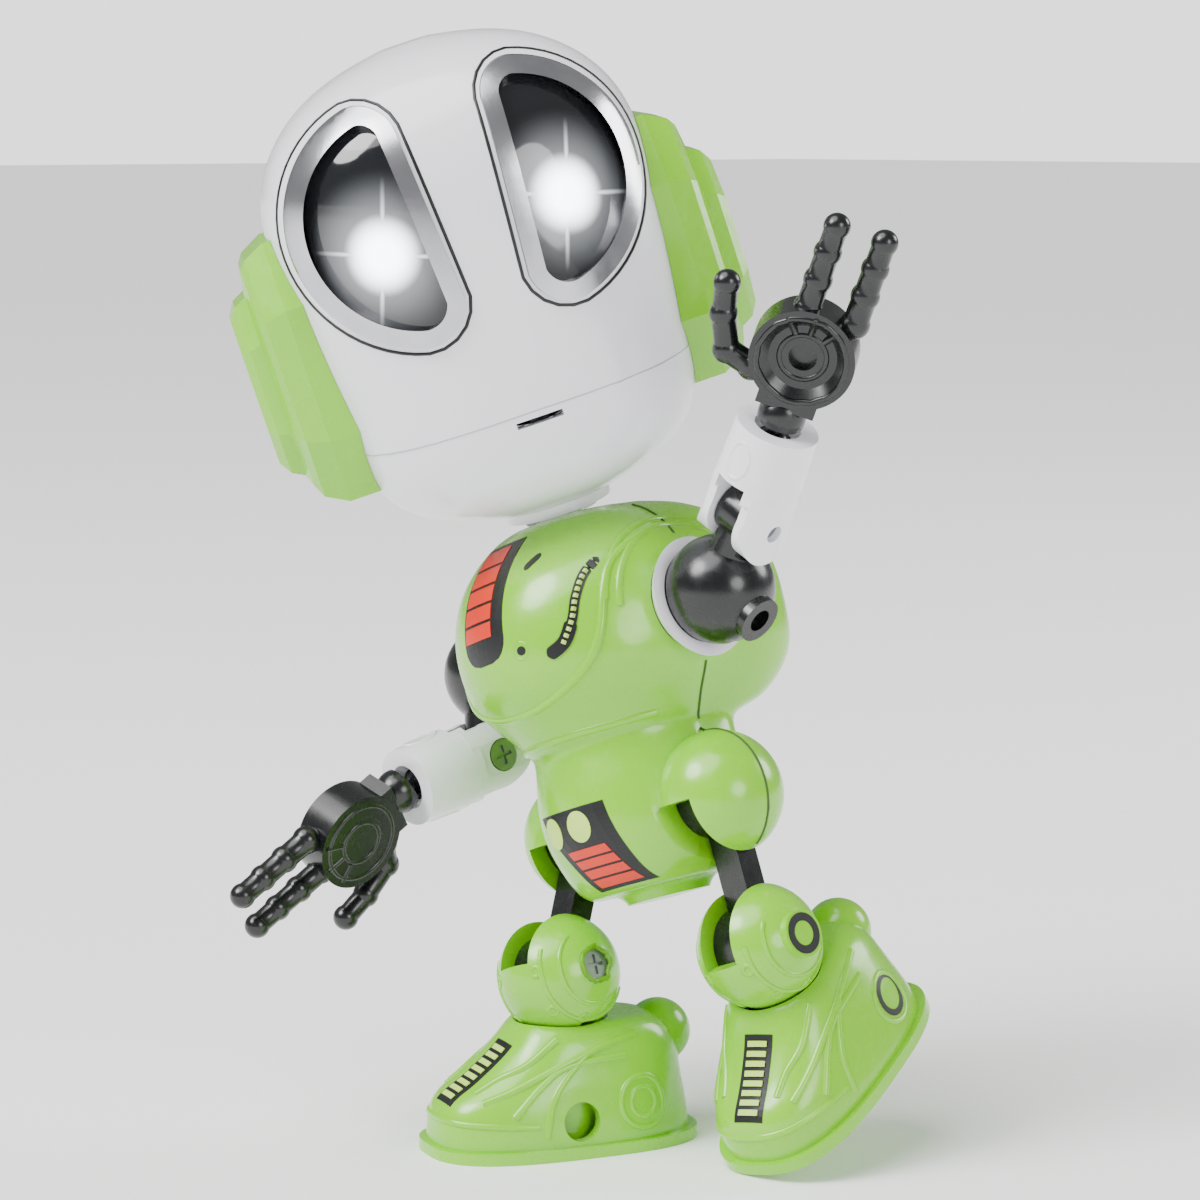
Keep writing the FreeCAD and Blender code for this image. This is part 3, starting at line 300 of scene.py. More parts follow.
def landed(skin, place, spot, heading, lift):
    # a point and a direction in a body's own millimetres, carried onto its skin
    start = place @ (Vector(spot) * mm)
    way = (place.to_3x3() @ Vector(heading)).normalized()
    hit, normal, _, _ = skin.ray_cast(start, way)
    if hit is None:
        hit, normal, _, _ = skin.find_nearest(start)
    if normal.dot(way) > 0:
        normal = -normal
    return hit + normal * lift * mm, normal


def nearestOn(skin, place, spot, lift):
    start = place @ (Vector(spot) * mm)
    hit, normal, _, _ = skin.find_nearest(start)
    outward = start - hit
    if outward.length > 0.05 * mm and normal.dot(outward) < 0 and lift > 0:
        normal = -normal
    return hit + normal * lift * mm, normal


# mm: how thick each kind of print is, how far it stands off the skin, and what counts as one point
sheetLook = {"print": 0.14, "bar": 0.12, "ribbon": 0.2, "lift": 0.05, "overPrint": 0.12, "merge": 0.001}


def thinSheet(name, rows, thick, material):
    # a closed sheet under a grid of points, each given with its normal
    made = bmesh.new()
    tops = [[made.verts.new(at) for at, _ in line] for line in rows]
    lows = [[made.verts.new(at - normal * thick * mm) for at, normal in line] for line in rows]
    last, width = len(rows) - 1, len(rows[0]) - 1
    for i in range(last):
        for j in range(width):
            made.faces.new((tops[i][j], tops[i][j + 1], tops[i + 1][j + 1], tops[i + 1][j]))
            made.faces.new((lows[i][j], lows[i + 1][j], lows[i + 1][j + 1], lows[i][j + 1]))
        made.faces.new((tops[i][0], tops[i + 1][0], lows[i + 1][0], lows[i][0]))
        made.faces.new((tops[i][width], lows[i][width], lows[i + 1][width], tops[i + 1][width]))
    for j in range(width):
        made.faces.new((tops[0][j], lows[0][j], lows[0][j + 1], tops[0][j + 1]))
        made.faces.new((tops[last][j], tops[last][j + 1], lows[last][j + 1], lows[last][j]))
    bmesh.ops.remove_doubles(made, verts=made.verts, dist=sheetLook["merge"] * mm)
    bmesh.ops.recalc_face_normals(made, faces=made.faces)
    mesh = bpy.data.meshes.new(name)
    made.to_mesh(mesh)
    made.free()
    mesh.materials.append(material)
    return newObject(name, mesh)


def printPatch(name, rows, skin, place, heading, material, lift=sheetLook["lift"]):
    # a grid of points laid on the skin as a thin closed print
    grid = [[landed(skin, place, spot, heading, lift) for spot in line] for line in rows]
    return thinSheet(name, grid, sheetLook["print"], material)


def roundedRows(centre, right, up, halfWidth, halfHeight, corner, steps=10, columns=8):
    # rows across a rounded rectangle, given its middle and two directions in body millimetres
    rows = []
    for i in range(steps + 1):
        v = -halfHeight + 2 * halfHeight * i / steps
        over = max(0.0, abs(v) - (halfHeight - corner))
        half = halfWidth - corner + math.sqrt(max(corner ** 2 - over ** 2, 0.0))
        rows.append([Vector(centre) + Vector(right) * (half * (2 * j / columns - 1)) + Vector(up) * v
                     for j in range(columns + 1)])
    return rows


def ringRows(centre, right, up, inner, outer, steps=40):
    rows = []
    for i in range(steps + 1):
        angle = 2 * math.pi * i / steps
        way = Vector(right) * math.cos(angle) + Vector(up) * math.sin(angle)
        rows.append([Vector(centre) + way * radius for radius in (inner, (inner + outer) / 2, outer)])
    return rows


def discRows(x, z, wide, high, radii, steps):
    # rows from the middle of a level oval outwards, all round it
    rows = []
    for i in range(steps + 1):
        angle = 2 * math.pi * i / steps
        rows.append([Vector((x + r * wide * math.cos(angle), frontStart, z + r * high * math.sin(angle)))
                     for r in radii])
    return rows


def joinPieces(name, items):
    made = bmesh.new()
    stuff = []
    for item in items:
        index = {}
        for slotIndex, entry in enumerate(item.data.materials):
            if entry not in stuff:
                stuff.append(entry)
            index[slotIndex] = stuff.index(entry)
        start = len(made.faces)
        made.from_mesh(item.data)
        made.faces.ensure_lookup_table()
        for face in made.faces[start:]:
            face.material_index = index.get(face.material_index, 0)
    mesh = bpy.data.meshes.new(name)
    made.to_mesh(mesh)
    made.free()
    for entry in stuff:
        mesh.materials.append(entry)
    for item in items:
        bpy.data.objects.remove(item)
    return newObject(name, mesh)


def startTree(name, inputs):
    tree = bpy.data.node_groups.new(name, "GeometryNodeTree")
    tree.interface.new_socket("Geometry", in_out="INPUT", socket_type="NodeSocketGeometry")
    ids = {}
    for label, kind, value in inputs:
        entry = tree.interface.new_socket(label, in_out="INPUT", socket_type=kind)
        if value is not None:
            entry.default_value = value
        ids[label] = entry.identifier
    tree.interface.new_socket("Geometry", in_out="OUTPUT", socket_type="NodeSocketGeometry")
    return tree, ids, addNode(tree, "NodeGroupInput")


def endTree(tree, source, geometry):
    real = addNode(tree, "GeometryNodeRealizeInstances", {"Geometry": geometry})
    filled = addNode(tree, "GeometryNodeSetMaterial", {"Geometry": real.outputs[0],
                     "Material": source.outputs["Material"]})
    addNode(tree, "NodeGroupOutput", {"Geometry": filled.outputs[0]})


def beadTree():
    # a round bead along a curve
    tree, ids, source = startTree("beadAlongLine", (("Radius", "NodeSocketFloat", 0.2 * mm),
                                  ("Sides", "NodeSocketInt", 8), ("Material", "NodeSocketMaterial", None)))
    circle = addNode(tree, "GeometryNodeCurvePrimitiveCircle", {"Resolution": source.outputs["Sides"],
                     "Radius": source.outputs["Radius"]})
    tube = addNode(tree, "GeometryNodeCurveToMesh", {"Curve": source.outputs["Geometry"],
                   "Profile Curve": circle.outputs[0], "Fill Caps": True})
    smooth = addNode(tree, "GeometryNodeSetShadeSmooth", {"Geometry": tube.outputs[0]})
    endTree(tree, source, smooth.outputs[0])
    return tree, ids


def rowTree():
    # equal blocks in a straight row, before they are laid on a surface
    tree, ids, source = startTree("rowOfBars", (("Count", "NodeSocketInt", 5),
                                  ("Step", "NodeSocketVector", (0, 1, 0)),
                                  ("Width", "NodeSocketFloat", 1.0), ("Height", "NodeSocketFloat", 1.0),
                                  ("Cells", "NodeSocketInt", 6), ("Material", "NodeSocketMaterial", None)))
    line = addNode(tree, "GeometryNodeMeshLine", {"Count": source.outputs["Count"],
                   "Offset": source.outputs["Step"]}, mode="OFFSET")
    grid = addNode(tree, "GeometryNodeMeshGrid", {"Size X": source.outputs["Width"],
                   "Size Y": source.outputs["Height"], "Vertices X": source.outputs["Cells"],
                   "Vertices Y": source.outputs["Cells"]})
    many = addNode(tree, "GeometryNodeInstanceOnPoints", {"Points": line.outputs[0],
                   "Instance": grid.outputs[0]})
    endTree(tree, source, many.outputs[0])
    return tree, ids


def dashTree():
    # short blocks set along a curve and turned with it
    tree, ids, source = startTree("dashesAlongLine", (("Count", "NodeSocketInt", 8),
                                  ("Size", "NodeSocketVector", (1, 1, 1)),
                                  ("Material", "NodeSocketMaterial", None)))
    spots = addNode(tree, "GeometryNodeCurveToPoints", {"Curve": source.outputs["Geometry"],
                    "Count": source.outputs["Count"]}, mode="COUNT")
    cube = addNode(tree, "GeometryNodeMeshCube", {"Size": source.outputs["Size"]})
    many = addNode(tree, "GeometryNodeInstanceOnPoints", {"Points": spots.outputs["Points"],
                   "Instance": cube.outputs[0], "Rotation": spots.outputs["Rotation"]})
    endTree(tree, source, many.outputs[0])
    return tree, ids


bead, beadIds = beadTree()
row, rowIds = rowTree()
dash, dashIds = dashTree()


def evaluatedMesh(item):
    graph = bpy.context.evaluated_depsgraph_get()
    return bpy.data.meshes.new_from_object(item.evaluated_get(graph), depsgraph=graph)


def baked(item, tree, ids, values):
    # runs a tree on an object and keeps only the plain mesh
    modifier = item.modifiers.new("grow", "NODES")
    modifier.node_group = tree
    for label, value in values.items():
        modifier[ids[label]] = value
    item.update_tag()
    made = newObject(item.name + "Made", evaluatedMesh(item))
    bpy.data.objects.remove(item)
    return made


beadLook = {"tip": 0.2, "fadeShare": 5, "sides": 8, "flush": 0.05}   # a sink above flush fades the ends


def curveThrough(name, spots, closed=False, fade=0):
    # fade is how many points at each open end thin out, so that a ridge sinks into its shell
    curve = bpy.data.curves.new(name, "CURVE")
    curve.dimensions = "3D"
    spline = curve.splines.new("POLY")
    spline.points.add(len(spots) - 1)
    for point, spot in zip(spline.points, spots):
        point.co = (*spot, 1)
    for i, point in enumerate(spline.points):
        near = min(i, len(spots) - 1 - i)
        thinned = beadLook["tip"] + (1 - beadLook["tip"]) * near / fade if fade and not closed else 1.0
        point.radius = min(1.0, thinned)
    spline.use_cyclic_u = closed
    return newObject(name, curve)


def smoothPath(spots, closed=False, steps=8):
    # Catmull-Rom through the given points
    spots = [Vector(spot) for spot in spots]
    count = len(spots)
    out = []
    for i in range(count if closed else count - 1):
        if closed:
            a, b, c, d = (spots[(i + k) % count] for k in (-1, 0, 1, 2))
        else:
            a, b, c, d = spots[max(i - 1, 0)], spots[i], spots[i + 1], spots[min(i + 2, count - 1)]
        for step in range(steps):
            t = step / steps
            out.append(0.5 * (2 * b + (c - a) * t + (2 * a - 5 * b + 4 * c - d) * t * t
                              + (3 * b - a - 3 * c + d) * t ** 3))
    return out if closed else out + [spots[-1]]


def surfaceBead(name, spots, skin, place, radius, sink, material, closed=False, steps=8):
    # a raised line: the bead's middle sits under the skin by sink
    path = [nearestOn(skin, place, spot, -sink)[0] for spot in smoothPath(spots, closed, steps)]
    fade = max(len(path) // beadLook["fadeShare"], 1) if sink > beadLook["flush"] else 0
    item = curveThrough(name, path, closed, fade)
    values = {"Radius": radius * mm, "Sides": beadLook["sides"], "Material": material}
    return baked(item, bead, beadIds, values)


def arcSpots(centre, right, up, radius, first, last, steps=24):
    spots = []
    for i in range(steps + 1):
        angle = math.radians(first + (last - first) * i / steps)
        way = Vector(right) * math.cos(angle) + Vector(up) * math.sin(angle)
        spots.append(Vector(centre) + way * radius)
    return spots


# moulded shells: merged copies of the CAD nodes, shaded smooth
wholeShells = {   # finish and crease angle in degrees
    "torso_front_shell": ("limeAbs", 40), "torso_back_shell": ("limeAbs", 40),
    "battery_door": ("limeAbs", 40), "face_shell": ("whiteAbs", 50), "jaw_shell": ("whiteAbs", 50),
    "head_back_shell": ("whiteAbs", 50),
    "neck_collar": ("whiteAbs", 35), "neck_bush": ("blackNylon", 35),
}
pairedShells = {
    "eye_bezel": ("silverFinish", 35), "ear_cover": ("limeAbs", 12),
    "foot_shell": ("limeAbs", 40), "foot_sole": ("limeAbs", 40), "ankle_stud": ("blackNylon", 35),
    "knee_cap_inner": ("limeAbs", 35), "knee_cap_outer": ("limeAbs", 35), "knee_screw": ("zincScrew", 35),
    "thigh_link": ("blackNylon", 35), "shoulder_cup": ("whiteAbs", 35), "upper_arm": ("blackNylon", 35),
    "elbow_screw": ("zincScrew", 35), "forearm_sleeve": ("whiteAbs", 35), "wrist_stud": ("blackNylon", 35),
    "hand": ("blackNylon", 30),
}
shellLooks = dict(wholeShells)
for name in ("left", "right"):
    shellLooks.update({f"{node}_{name}": look for node, look in pairedShells.items()})


def bodyOf(node):
    for body, members in frame["record"]["behaviour"]["bodies"].items():
        if node in members:
            return body
    return None


def softCopy(node, material, crease):
    # merged, shaded smooth, and kept sharp at edges that turn by more than the crease angle
    made = bmesh.new()
    made.from_mesh(frame["nodes"][node].data)
    bmesh.ops.remove_doubles(made, verts=made.verts, dist=2e-6)
    for face in made.faces:
        face.smooth = True
    for edge in made.edges:
        edge.smooth = not (len(edge.link_faces) == 2 and edge.calc_face_angle(0) > math.radians(crease))
    mesh = bpy.data.meshes.new(node + "Soft")
    made.to_mesh(mesh)
    made.free()
    item = newObject(node + "Soft", mesh)
    settle(item, bodyOf(node), material)
    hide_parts(node)


for node, (look, crease) in shellLooks.items():
    softCopy(node, materials[look], crease)
print("shells smoothed:", len(shellLooks))

innerLooks = {"hip_axle": "zincScrew", "hip_sleeve": "whiteAbs", "battery_box": "blackNylon",
              "button_cells": "nickelCell", "main_board": "boardGreen", "battery_door_screw": "zincScrew",
              "power_switch": "blackNylon", "switch_base": "blackNylon", "neck_socket": "whiteAbs",
              "head_board": "boardGreen", "speaker": "blackNylon",
              "eye_led_left": "whiteAbs", "eye_led_right": "whiteAbs"}
for node, look in innerLooks.items():
    mesh = frame["nodes"][node].data
    mesh.materials.clear()
    mesh.materials.append(materials[look])


eyeLook = {"width": 16.6, "height": 27.0, "centreX": 11.5, "centreZ": 35.8, "ledX": 10.3, "ledZ": 33.4,
           "gapOut": 0.25, "gapSink": 0.02, "gapRadius": 0.2}


def throughThree(a, b, c, steps):
    # an arc from a through b to c in the plane of the face
    ax, az, bx, bz, cx, cz = *a, *b, *c
    d = 2 * (ax * (bz - cz) + bx * (cz - az) + cx * (az - bz))
    aa, bb, cc = ax ** 2 + az ** 2, bx ** 2 + bz ** 2, cx ** 2 + cz ** 2
    ux = (aa * (bz - cz) + bb * (cz - az) + cc * (az - bz)) / d
    uz = (aa * (cx - bx) + bb * (ax - cx) + cc * (bx - ax)) / d
    radius = math.hypot(ax - ux, az - uz)
    first, middle, last = (math.atan2(z - uz, x - ux) for x, z in (a, b, c))
    turn = (last - first) % (2 * math.pi)
    if (middle - first) % (2 * math.pi) > turn:
        turn -= 2 * math.pi
    angles = [first + turn * i / steps for i in range(steps)]
    return [(ux + radius * math.cos(angle), uz + radius * math.sin(angle)) for angle in angles]


def eyeOutline(look, side, grow):
    wide, high = look["width"], look["height"]
    low, up = (-0.50 * wide, -0.34 * high), (-0.42 * wide, 0.37 * high)
    top, foot = (-0.13 * wide, 0.50 * high), (-0.16 * wide, -0.50 * high)
    flat = [(low[0] + (up[0] - low[0]) * i / 8, low[1] + (up[1] - low[1]) * i / 8) for i in range(8)]
    flat += throughThree(up, (-0.335 * wide, 0.465 * high), top, 5)
    flat += throughThree(top, (0.50 * wide, 0.02 * high), foot, 26)
    flat += throughThree(foot, (-0.40 * wide, -0.455 * high), low, 5)
    out = []
    for i, (x, z) in enumerate(flat):
        before, after = flat[i - 1], flat[(i + 1) % len(flat)]
        along = Vector((after[0] - before[0], after[1] - before[1])).normalized()
        x, z = x - along.y * grow, z + along.x * grow
        out.append((side * (look["centreX"] + x), z + look["centreZ"]))
    return out


def makeEyes():
    place = places["head"]
    turn = place.to_3x3()
    for name, side in (("left", 1), ("right", -1)):
        # a black bead in the gap round each eye: painted shade
        path = []
        for x, z in eyeOutline(eyeLook, side, eyeLook["gapOut"]):
            start = (x, frontStart, z)
            path.append(landed(skins["head"], place, start, (0, 1, 0), -eyeLook["gapSink"])[0])
        line = baked(curveThrough(f"eyeGap{name}", path, True), bead, beadIds,
                     {"Radius": eyeLook["gapRadius"] * mm, "Sides": beadLook["sides"],
                      "Material": materials["blackInkAndShade"]})
        line.name = f"eyeGap_{name}"
        settle(line, "head")
        led = (side * eyeLook["ledX"], frontStart, eyeLook["ledZ"])
        spot = landed(skinOf(f"eye_lens_{name}"), place, led, (0, 1, 0), 0)[0]
        ahead = turn @ Vector((0, -1, 0))
        across = Vector((0, 0, 1)).cross(ahead).normalized()
        glass = litLens(f"litLens{name.title()}", lensLook, spot, across, ahead.cross(across))
        softCopy(f"eye_lens_{name}", glass, 40)


makeEyes()
print("eyes lit")


headLook = {"mouthZ": 11.6, "mouthHalf": 2.6, "mouthHigh": 0.33, "mouthCorner": 0.3,
            "jawZ": 12.5, "jawHalf": (21, 19.5), "jawSteps": 60, "seamSink": 0.02, "seamRadius": 0.1}


def makeHeadDetails():
    # painted shade: a grey bead in the gap above the jaw and a black patch in the slot of the mouth
    place, skin, look = places["head"], skins["head"], headLook
    wide, deep = look["jawHalf"]
    jaw = []
    for i in range(look["jawSteps"] + 1):
        angle = math.radians(180 + 180 * i / look["jawSteps"])
        spot = (wide * math.cos(angle), deep * math.sin(angle), look["jawZ"])
        jaw.append(nearestOn(skin, place, spot, -look["seamSink"])[0])
    seam = baked(curveThrough("jawSeamShade", jaw), bead, beadIds,
                 {"Radius": look["seamRadius"] * mm, "Sides": 6, "Material": materials["whiteSeamShade"]})
    rows = roundedRows((0, frontStart, look["mouthZ"]), (1, 0, 0), (0, 0, 1), look["mouthHalf"],
                       look["mouthHigh"], look["mouthCorner"], 6, 14)
    mouth = printPatch("mouthSlotShade", rows, skin, place, (0, 1, 0), materials["blackInkAndShade"])
    settle(joinPieces("head_shade_lines", [seam, mouth]), "head")


makeHeadDetails()
print("head lined")


torsoLook = {   # mm on the torso's own axes
    "barCount": 5, "barTop": 31.2, "barPitch": 1.98, "barHeight": 1.66, "barHalf": 2.4, "barMiddle": -1.2,
    "panelLeft": 0.4, "panelRight": 1.7, "panelTop": 1.3, "panelFoot": 19.6, "panelCorner": 2.6,
    "panelTrim": 2.4,
    "pelvisTop": 2.4, "pelvisDrop": 9.5, "pelvisHalf": 5.0, "pelvisTaper": 2.0, "pelvisMiddle": 0.3,
    "pelvisLean": 3.0, "ovalMiddles": (-2.5, 1.8), "ovalZ": 0.3, "ovalWide": 1.5, "ovalHigh": 1.75,
    "pelvisBars": 4, "pelvisPitch": 1.2, "pelvisBarWidth": 5.2, "pelvisBarHeight": 0.94,
    "pelvisBarX": 1.6, "pelvisBarZ": -2.6, "pelvisBarLean": 0.4, "pelvisBarTaper": 0.03,
    "ventX": 5.7, "ventZ": 29.2, "ventHalf": 0.95, "ventHigh": 0.4, "ventCorner": 0.38,
    "dimpleX": 4.7, "dimpleZ": 19.9, "stripHalf": 0.52, "stripFootHalf": 0.72, "dash": 0.42, "dashes": 12,
}


def blackPanel(look):
    # the panel behind the bars, wider on the robot's left and rounded at the foot
    left = look["barMiddle"] - look["barHalf"] - look["panelLeft"]
    right = look["barMiddle"] + look["barHalf"] + look["panelRight"]
    top, low, corner = look["barTop"] + look["panelTop"], look["panelFoot"], look["panelCorner"]
    rows = []
    for i in range(41):
        z = top + (low - top) * i / 40
        shrink = max(0.0, (low + corner - z) / corner)
        trim = look["panelTrim"] * (1 - math.sqrt(max(1 - shrink ** 2, 0.0)))
        rows.append([Vector((left + trim + (right - left - 2 * trim) * j / 8, frontStart, z))
                     for j in range(9)])
    return rows


def pelvisPanel(look):
    # narrows downwards, leans to the robot's left and turns under
    rows = []
    for i in range(19):
        share = i / 18
        z = look["pelvisTop"] - look["pelvisDrop"] * share
        half = look["pelvisHalf"] - look["pelvisTaper"] * share
        middle = look["pelvisMiddle"] + look["pelvisLean"] * share
        rows.append([Vector((middle + half * (2 * j / 8 - 1), frontStart, z)) for j in range(9)])
    return rows


def layRow(name, values, toBody, skin, place, heading, material, lift):
    # bars from the row tree, each carried onto the skin and thickened
    mesh = bpy.data.meshes.new(name)
    item = baked(newObject(name, mesh), row, rowIds, {**values, "Material": material})
    for vertex in item.data.vertices:
        vertex.co = landed(skin, place, toBody(vertex.co), heading, lift)[0]
    thick = item.modifiers.new("thick", "SOLIDIFY")
    thick.thickness = sheetLook["bar"] * mm
    thick.offset = -1
    solid = evaluatedMesh(item)
    item.modifiers.clear()
    item.data = solid
    return item


def makeTorsoPrints():
    place, skin, look = places["torso"], skins["torso"], torsoLook
    ink, red, pale = materials["blackInkAndShade"], materials["redInk"], materials["paleInk"]
    inward, over = (0, 1, 0), sheetLook["overPrint"]
    items = [printPatch("chestPanel", blackPanel(look), skin, place, inward, ink)]
    bars = {"Count": look["barCount"], "Step": (0, -look["barPitch"], 0), "Width": 2 * look["barHalf"],
            "Height": look["barHeight"], "Cells": 7}
    items.append(layRow("chestBars", bars,
                        lambda co: (co.x + look["barMiddle"], frontStart, co.y + look["barTop"]),
                        skin, place, inward, red, over))
    items.append(printPatch("pelvisPanel", pelvisPanel(look), skin, place, inward, ink))
    for x in look["ovalMiddles"]:
        oval = discRows(x, look["ovalZ"], look["ovalWide"], look["ovalHigh"], (0.001, 0.5, 1.0), 24)
        items.append(printPatch("pelvisOval", oval, skin, place, inward, pale, over))
    low = {"Count": look["pelvisBars"], "Step": (0, -look["pelvisPitch"], 0),
           "Width": look["pelvisBarWidth"], "Height": look["pelvisBarHeight"], "Cells": 7}
    items.append(layRow("pelvisBars", low,
                        lambda co: (co.x * (1 + look["pelvisBarTaper"] * co.y) + look["pelvisBarX"]
                                    - look["pelvisBarLean"] * co.y, frontStart, co.y + look["pelvisBarZ"]),
                        skin, place, inward, red, over))
    mark = roundedRows((look["ventX"], frontStart, look["ventZ"]), (0.75, 0, 0.66), (-0.66, 0, 0.75),
                       look["ventHalf"], look["ventHigh"], look["ventCorner"], 6, 8)
    items.append(printPatch("ventMark", mark, skin, place, inward, ink))
    dot = discRows(look["dimpleX"], look["dimpleZ"], 1.0, 1.0, (0.001, 0.25, 0.5), 20)
    items.append(printPatch("dimple", dot, skin, place, inward, ink))
    strip = ((11.9, -9.0, 27.6), (11.1, -10.9, 26.2), (10.6, -12.4, 24.0), (10.1, -13.3, 21.6),
             (9.0, -14.2, 19.5), (7.2, -15.4, 18.5))
    items.append(ribbon("stripBack", smoothPath(strip), skin, place, look["stripHalf"], ink, 0.1))
    items.append(ribbon("stripFoot", smoothPath(strip[3:]), skin, place, look["stripFootHalf"], ink, 0.12))
    upper = [nearestOn(skin, place, spot, 0.1)[0] for spot in smoothPath(strip[:5])][7:]
    size = look["dash"] * mm
    items.append(baked(curveThrough("stripDashes", upper), dash, dashIds,
                       {"Count": look["dashes"], "Size": (size, size, size), "Material": pale}))
    settle(joinPieces("torso_prints", items), "torso")


def ribbon(name, path, skin, place, half, material, lift):
    # a flat strip that follows a path on the skin, with rounded ends
    spots = [nearestOn(skin, place, spot, lift) for spot in path]
    rows = []
    for i, (at, normal) in enumerate(spots):
        before, after = spots[max(i - 1, 0)][0], spots[min(i + 1, len(spots) - 1)][0]
        side = (after - before).normalized().cross(normal).normalized()
        near = min(i, len(spots) - 1 - i)
        width = half * math.sin(min(near / 2.5, 1.0) * math.pi / 2) + 0.02
        rows.append([(at + side * width * share * mm, normal) for share in (-1, -0.4, 0.4, 1)])
    return thinSheet(name, rows, sheetLook["ribbon"], material)


reliefLook = {   # mm; each line's radius and how far its middle sits under the skin
    "rim": (0.6, 0.26), "shoulder": (0.5, 0.22), "waist": (0.6, 0.3), "dimple": (0.18, 0.1),
    "seam": (0.16, 0.02), "dimpleRadius": 0.95,
    "shoulderX": 14.0, "shoulderZ": 21.1, "shoulderArcs": ((9.3, 95, 275), (11.2, 100, 225)),
    "lobeX": 11.4, "lobeY": 0.5, "lobeRadius": 7.6, "lobeTurn": (-62, 100),
    "splitY": 0.65, "splitHeights": ((8.6, 14.4), (28.8, 33.4)), "waistZ": 8.6, "waistRadius": 14.0,
}


def makeTorsoRelief():
    place, skin, look = places["torso"], skins["torso"], reliefLook
    lime, shade = materials["limeAbs"], materials["seamShade"]
    plate = [(14.2, -3.2, 30.0), (13.2, -8.0, 27.5), (12.6, -9.8, 24.5), (11.9, -11.2, 20.0),
             (10.3, -12.4, 17.0), (7.2, -14.0, 14.8), (3.5, -14.8, 13.6), (0.0, -15.2, 13.2)]
    mirrored = [(-x, y, z) for x, y, z in reversed(plate[:-1])]
    items = [surfaceBead("chestRim", plate + mirrored, skin, place, *look["rim"], lime)]
    for side in (1, -1):
        middle = (side * look["shoulderX"], 0, look["shoulderZ"])
        for radius, first, last in look["shoulderArcs"]:
            arc = arcSpots(middle, (0, -1, 0), (0, 0, 1), radius, first - 90, last - 90)
            items.append(surfaceBead("shoulderRim", arc, skin, place, *look["shoulder"], lime, steps=2))
        lobe = arcSpots((side * look["lobeX"], look["lobeY"], 0), (side, 0, 0), (0, 0, 1),
                        look["lobeRadius"], *look["lobeTurn"])
        items.append(surfaceBead("lobeSeam", lobe, skin, place, *look["seam"], shade, steps=2))
        for low, high in look["splitHeights"]:
            heights = [low + (high - low) * k / 40 for k in range(41)]
            seam = [landed(skin, place, (side * sideStart, look["splitY"], z), (-side, 0, 0), 0)[0]
                    for z in heights]
            items.append(baked(curveThrough("sideSeam", seam), bead, beadIds,
                               {"Radius": look["seam"][0] * mm, "Sides": beadLook["sides"],
                                "Material": shade}))
    waist = arcSpots((0, 0, look["waistZ"]), (1, 0, 0), (0, -1, 0), look["waistRadius"], 25, 155)
    items.append(surfaceBead("waistRim", waist, skin, place, *look["waist"], lime, steps=2))
    dimple = arcSpots((torsoLook["dimpleX"], -16.8, torsoLook["dimpleZ"]), (1, 0, 0), (0, 0, 1),
                      look["dimpleRadius"], 0, 345, 22)
    items.append(surfaceBead("dimpleRim", dimple, skin, place, *look["dimple"], lime, True, 2))
    settle(joinPieces("torso_relief", items), "torso")


makeTorsoPrints()
makeTorsoRelief()
print("torso dressed")


footLook = {   # mm on the foot's own axes; pairs are a line's radius and how far it is sunk
    "ladderMiddle": 0.5, "ladderHalf": 1.85, "ladderHigh": 4.75, "ladderY": -11.2, "ladderZ": 8.9,
    "rungs": 8, "rungHeight": 0.62, "rungPitch": 1.07, "rungWidth": 2.5,
    "heelY": 6.6, "heelZ": 6.2, "ring": (1.75, 2.45), "boss": (0.42, 0.18), "bossRadius": 3.0, "heelX": 8.5,
    "innerY": 6.3, "innerZ": 5.6, "discs": ((3.0, 0.42), (1.7, 0.36)), "flow": (0.5, 0.24),
    "toe": (0.45, 0.22), "toeY": -4.0, "toeZ": 4.4, "toeRadius": 12,
}
flowLines = (((8.2, -9.5, 5.2), (7.3, -6.0, 8.2), (7.0, -2.6, 10.1), (6.8, 4.3, 10.7)),
             ((5.3, -12.3, 6.6), (6.6, -8.6, 8.2), (6.9, -4.5, 9.8), (6.4, 2.5, 12.2)),
             ((5.9, 5.9, 12.9), (6.7, 1.5, 11.8), (6.9, -0.9, 10.8), (7.6, -4.5, 7.0), (8.1, -5.8, 2.6)),
             ((5.7, -3.6, 12.9), (5.4, -7.1, 10.3), (4.2, -10.0, 8.8), (3.6, -12.5, 7.4)))


def makeFootPrints(name, side, look):
    # the ladder on the instep and the ring on the outside of the heel
    place, skin = places[f"foot_{name}"], skins[f"foot_{name}"]
    ink, pale = materials["blackInkAndShade"], materials["paleInk"]
    along, down = Vector((0, -0.85, -0.53)), (0, 0.53, -0.85)
    start = Vector((look["ladderMiddle"], look["ladderY"], look["ladderZ"])) - Vector(down) * 20
    panel = roundedRows(start, (1, 0, 0), along, look["ladderHalf"], look["ladderHigh"], 0.0, 14, 6)
    prints = [printPatch("ladderPanel", panel, skin, place, down, ink)]
    rungs = {"Count": look["rungs"], "Step": (0, look["rungPitch"], 0), "Width": look["rungWidth"],
             "Height": look["rungHeight"], "Cells": 4}
    reach = (look["rungs"] - 1) * look["rungPitch"] / 2
    prints.append(layRow("ladderRungs", rungs,
                         lambda co: start + Vector((co.x, 0, 0)) + along * (co.y - reach),
                         skin, place, down, pale, sheetLook["overPrint"]))
    ring = ringRows((side * sideStart, look["heelY"], look["heelZ"]), (0, 1, 0), (0, 0, 1), *look["ring"])
    prints.append(printPatch("heelRing", ring, skin, place, (-side, 0, 0), ink))
    settle(joinPieces(f"foot_prints_{name}", prints), f"foot_{name}")


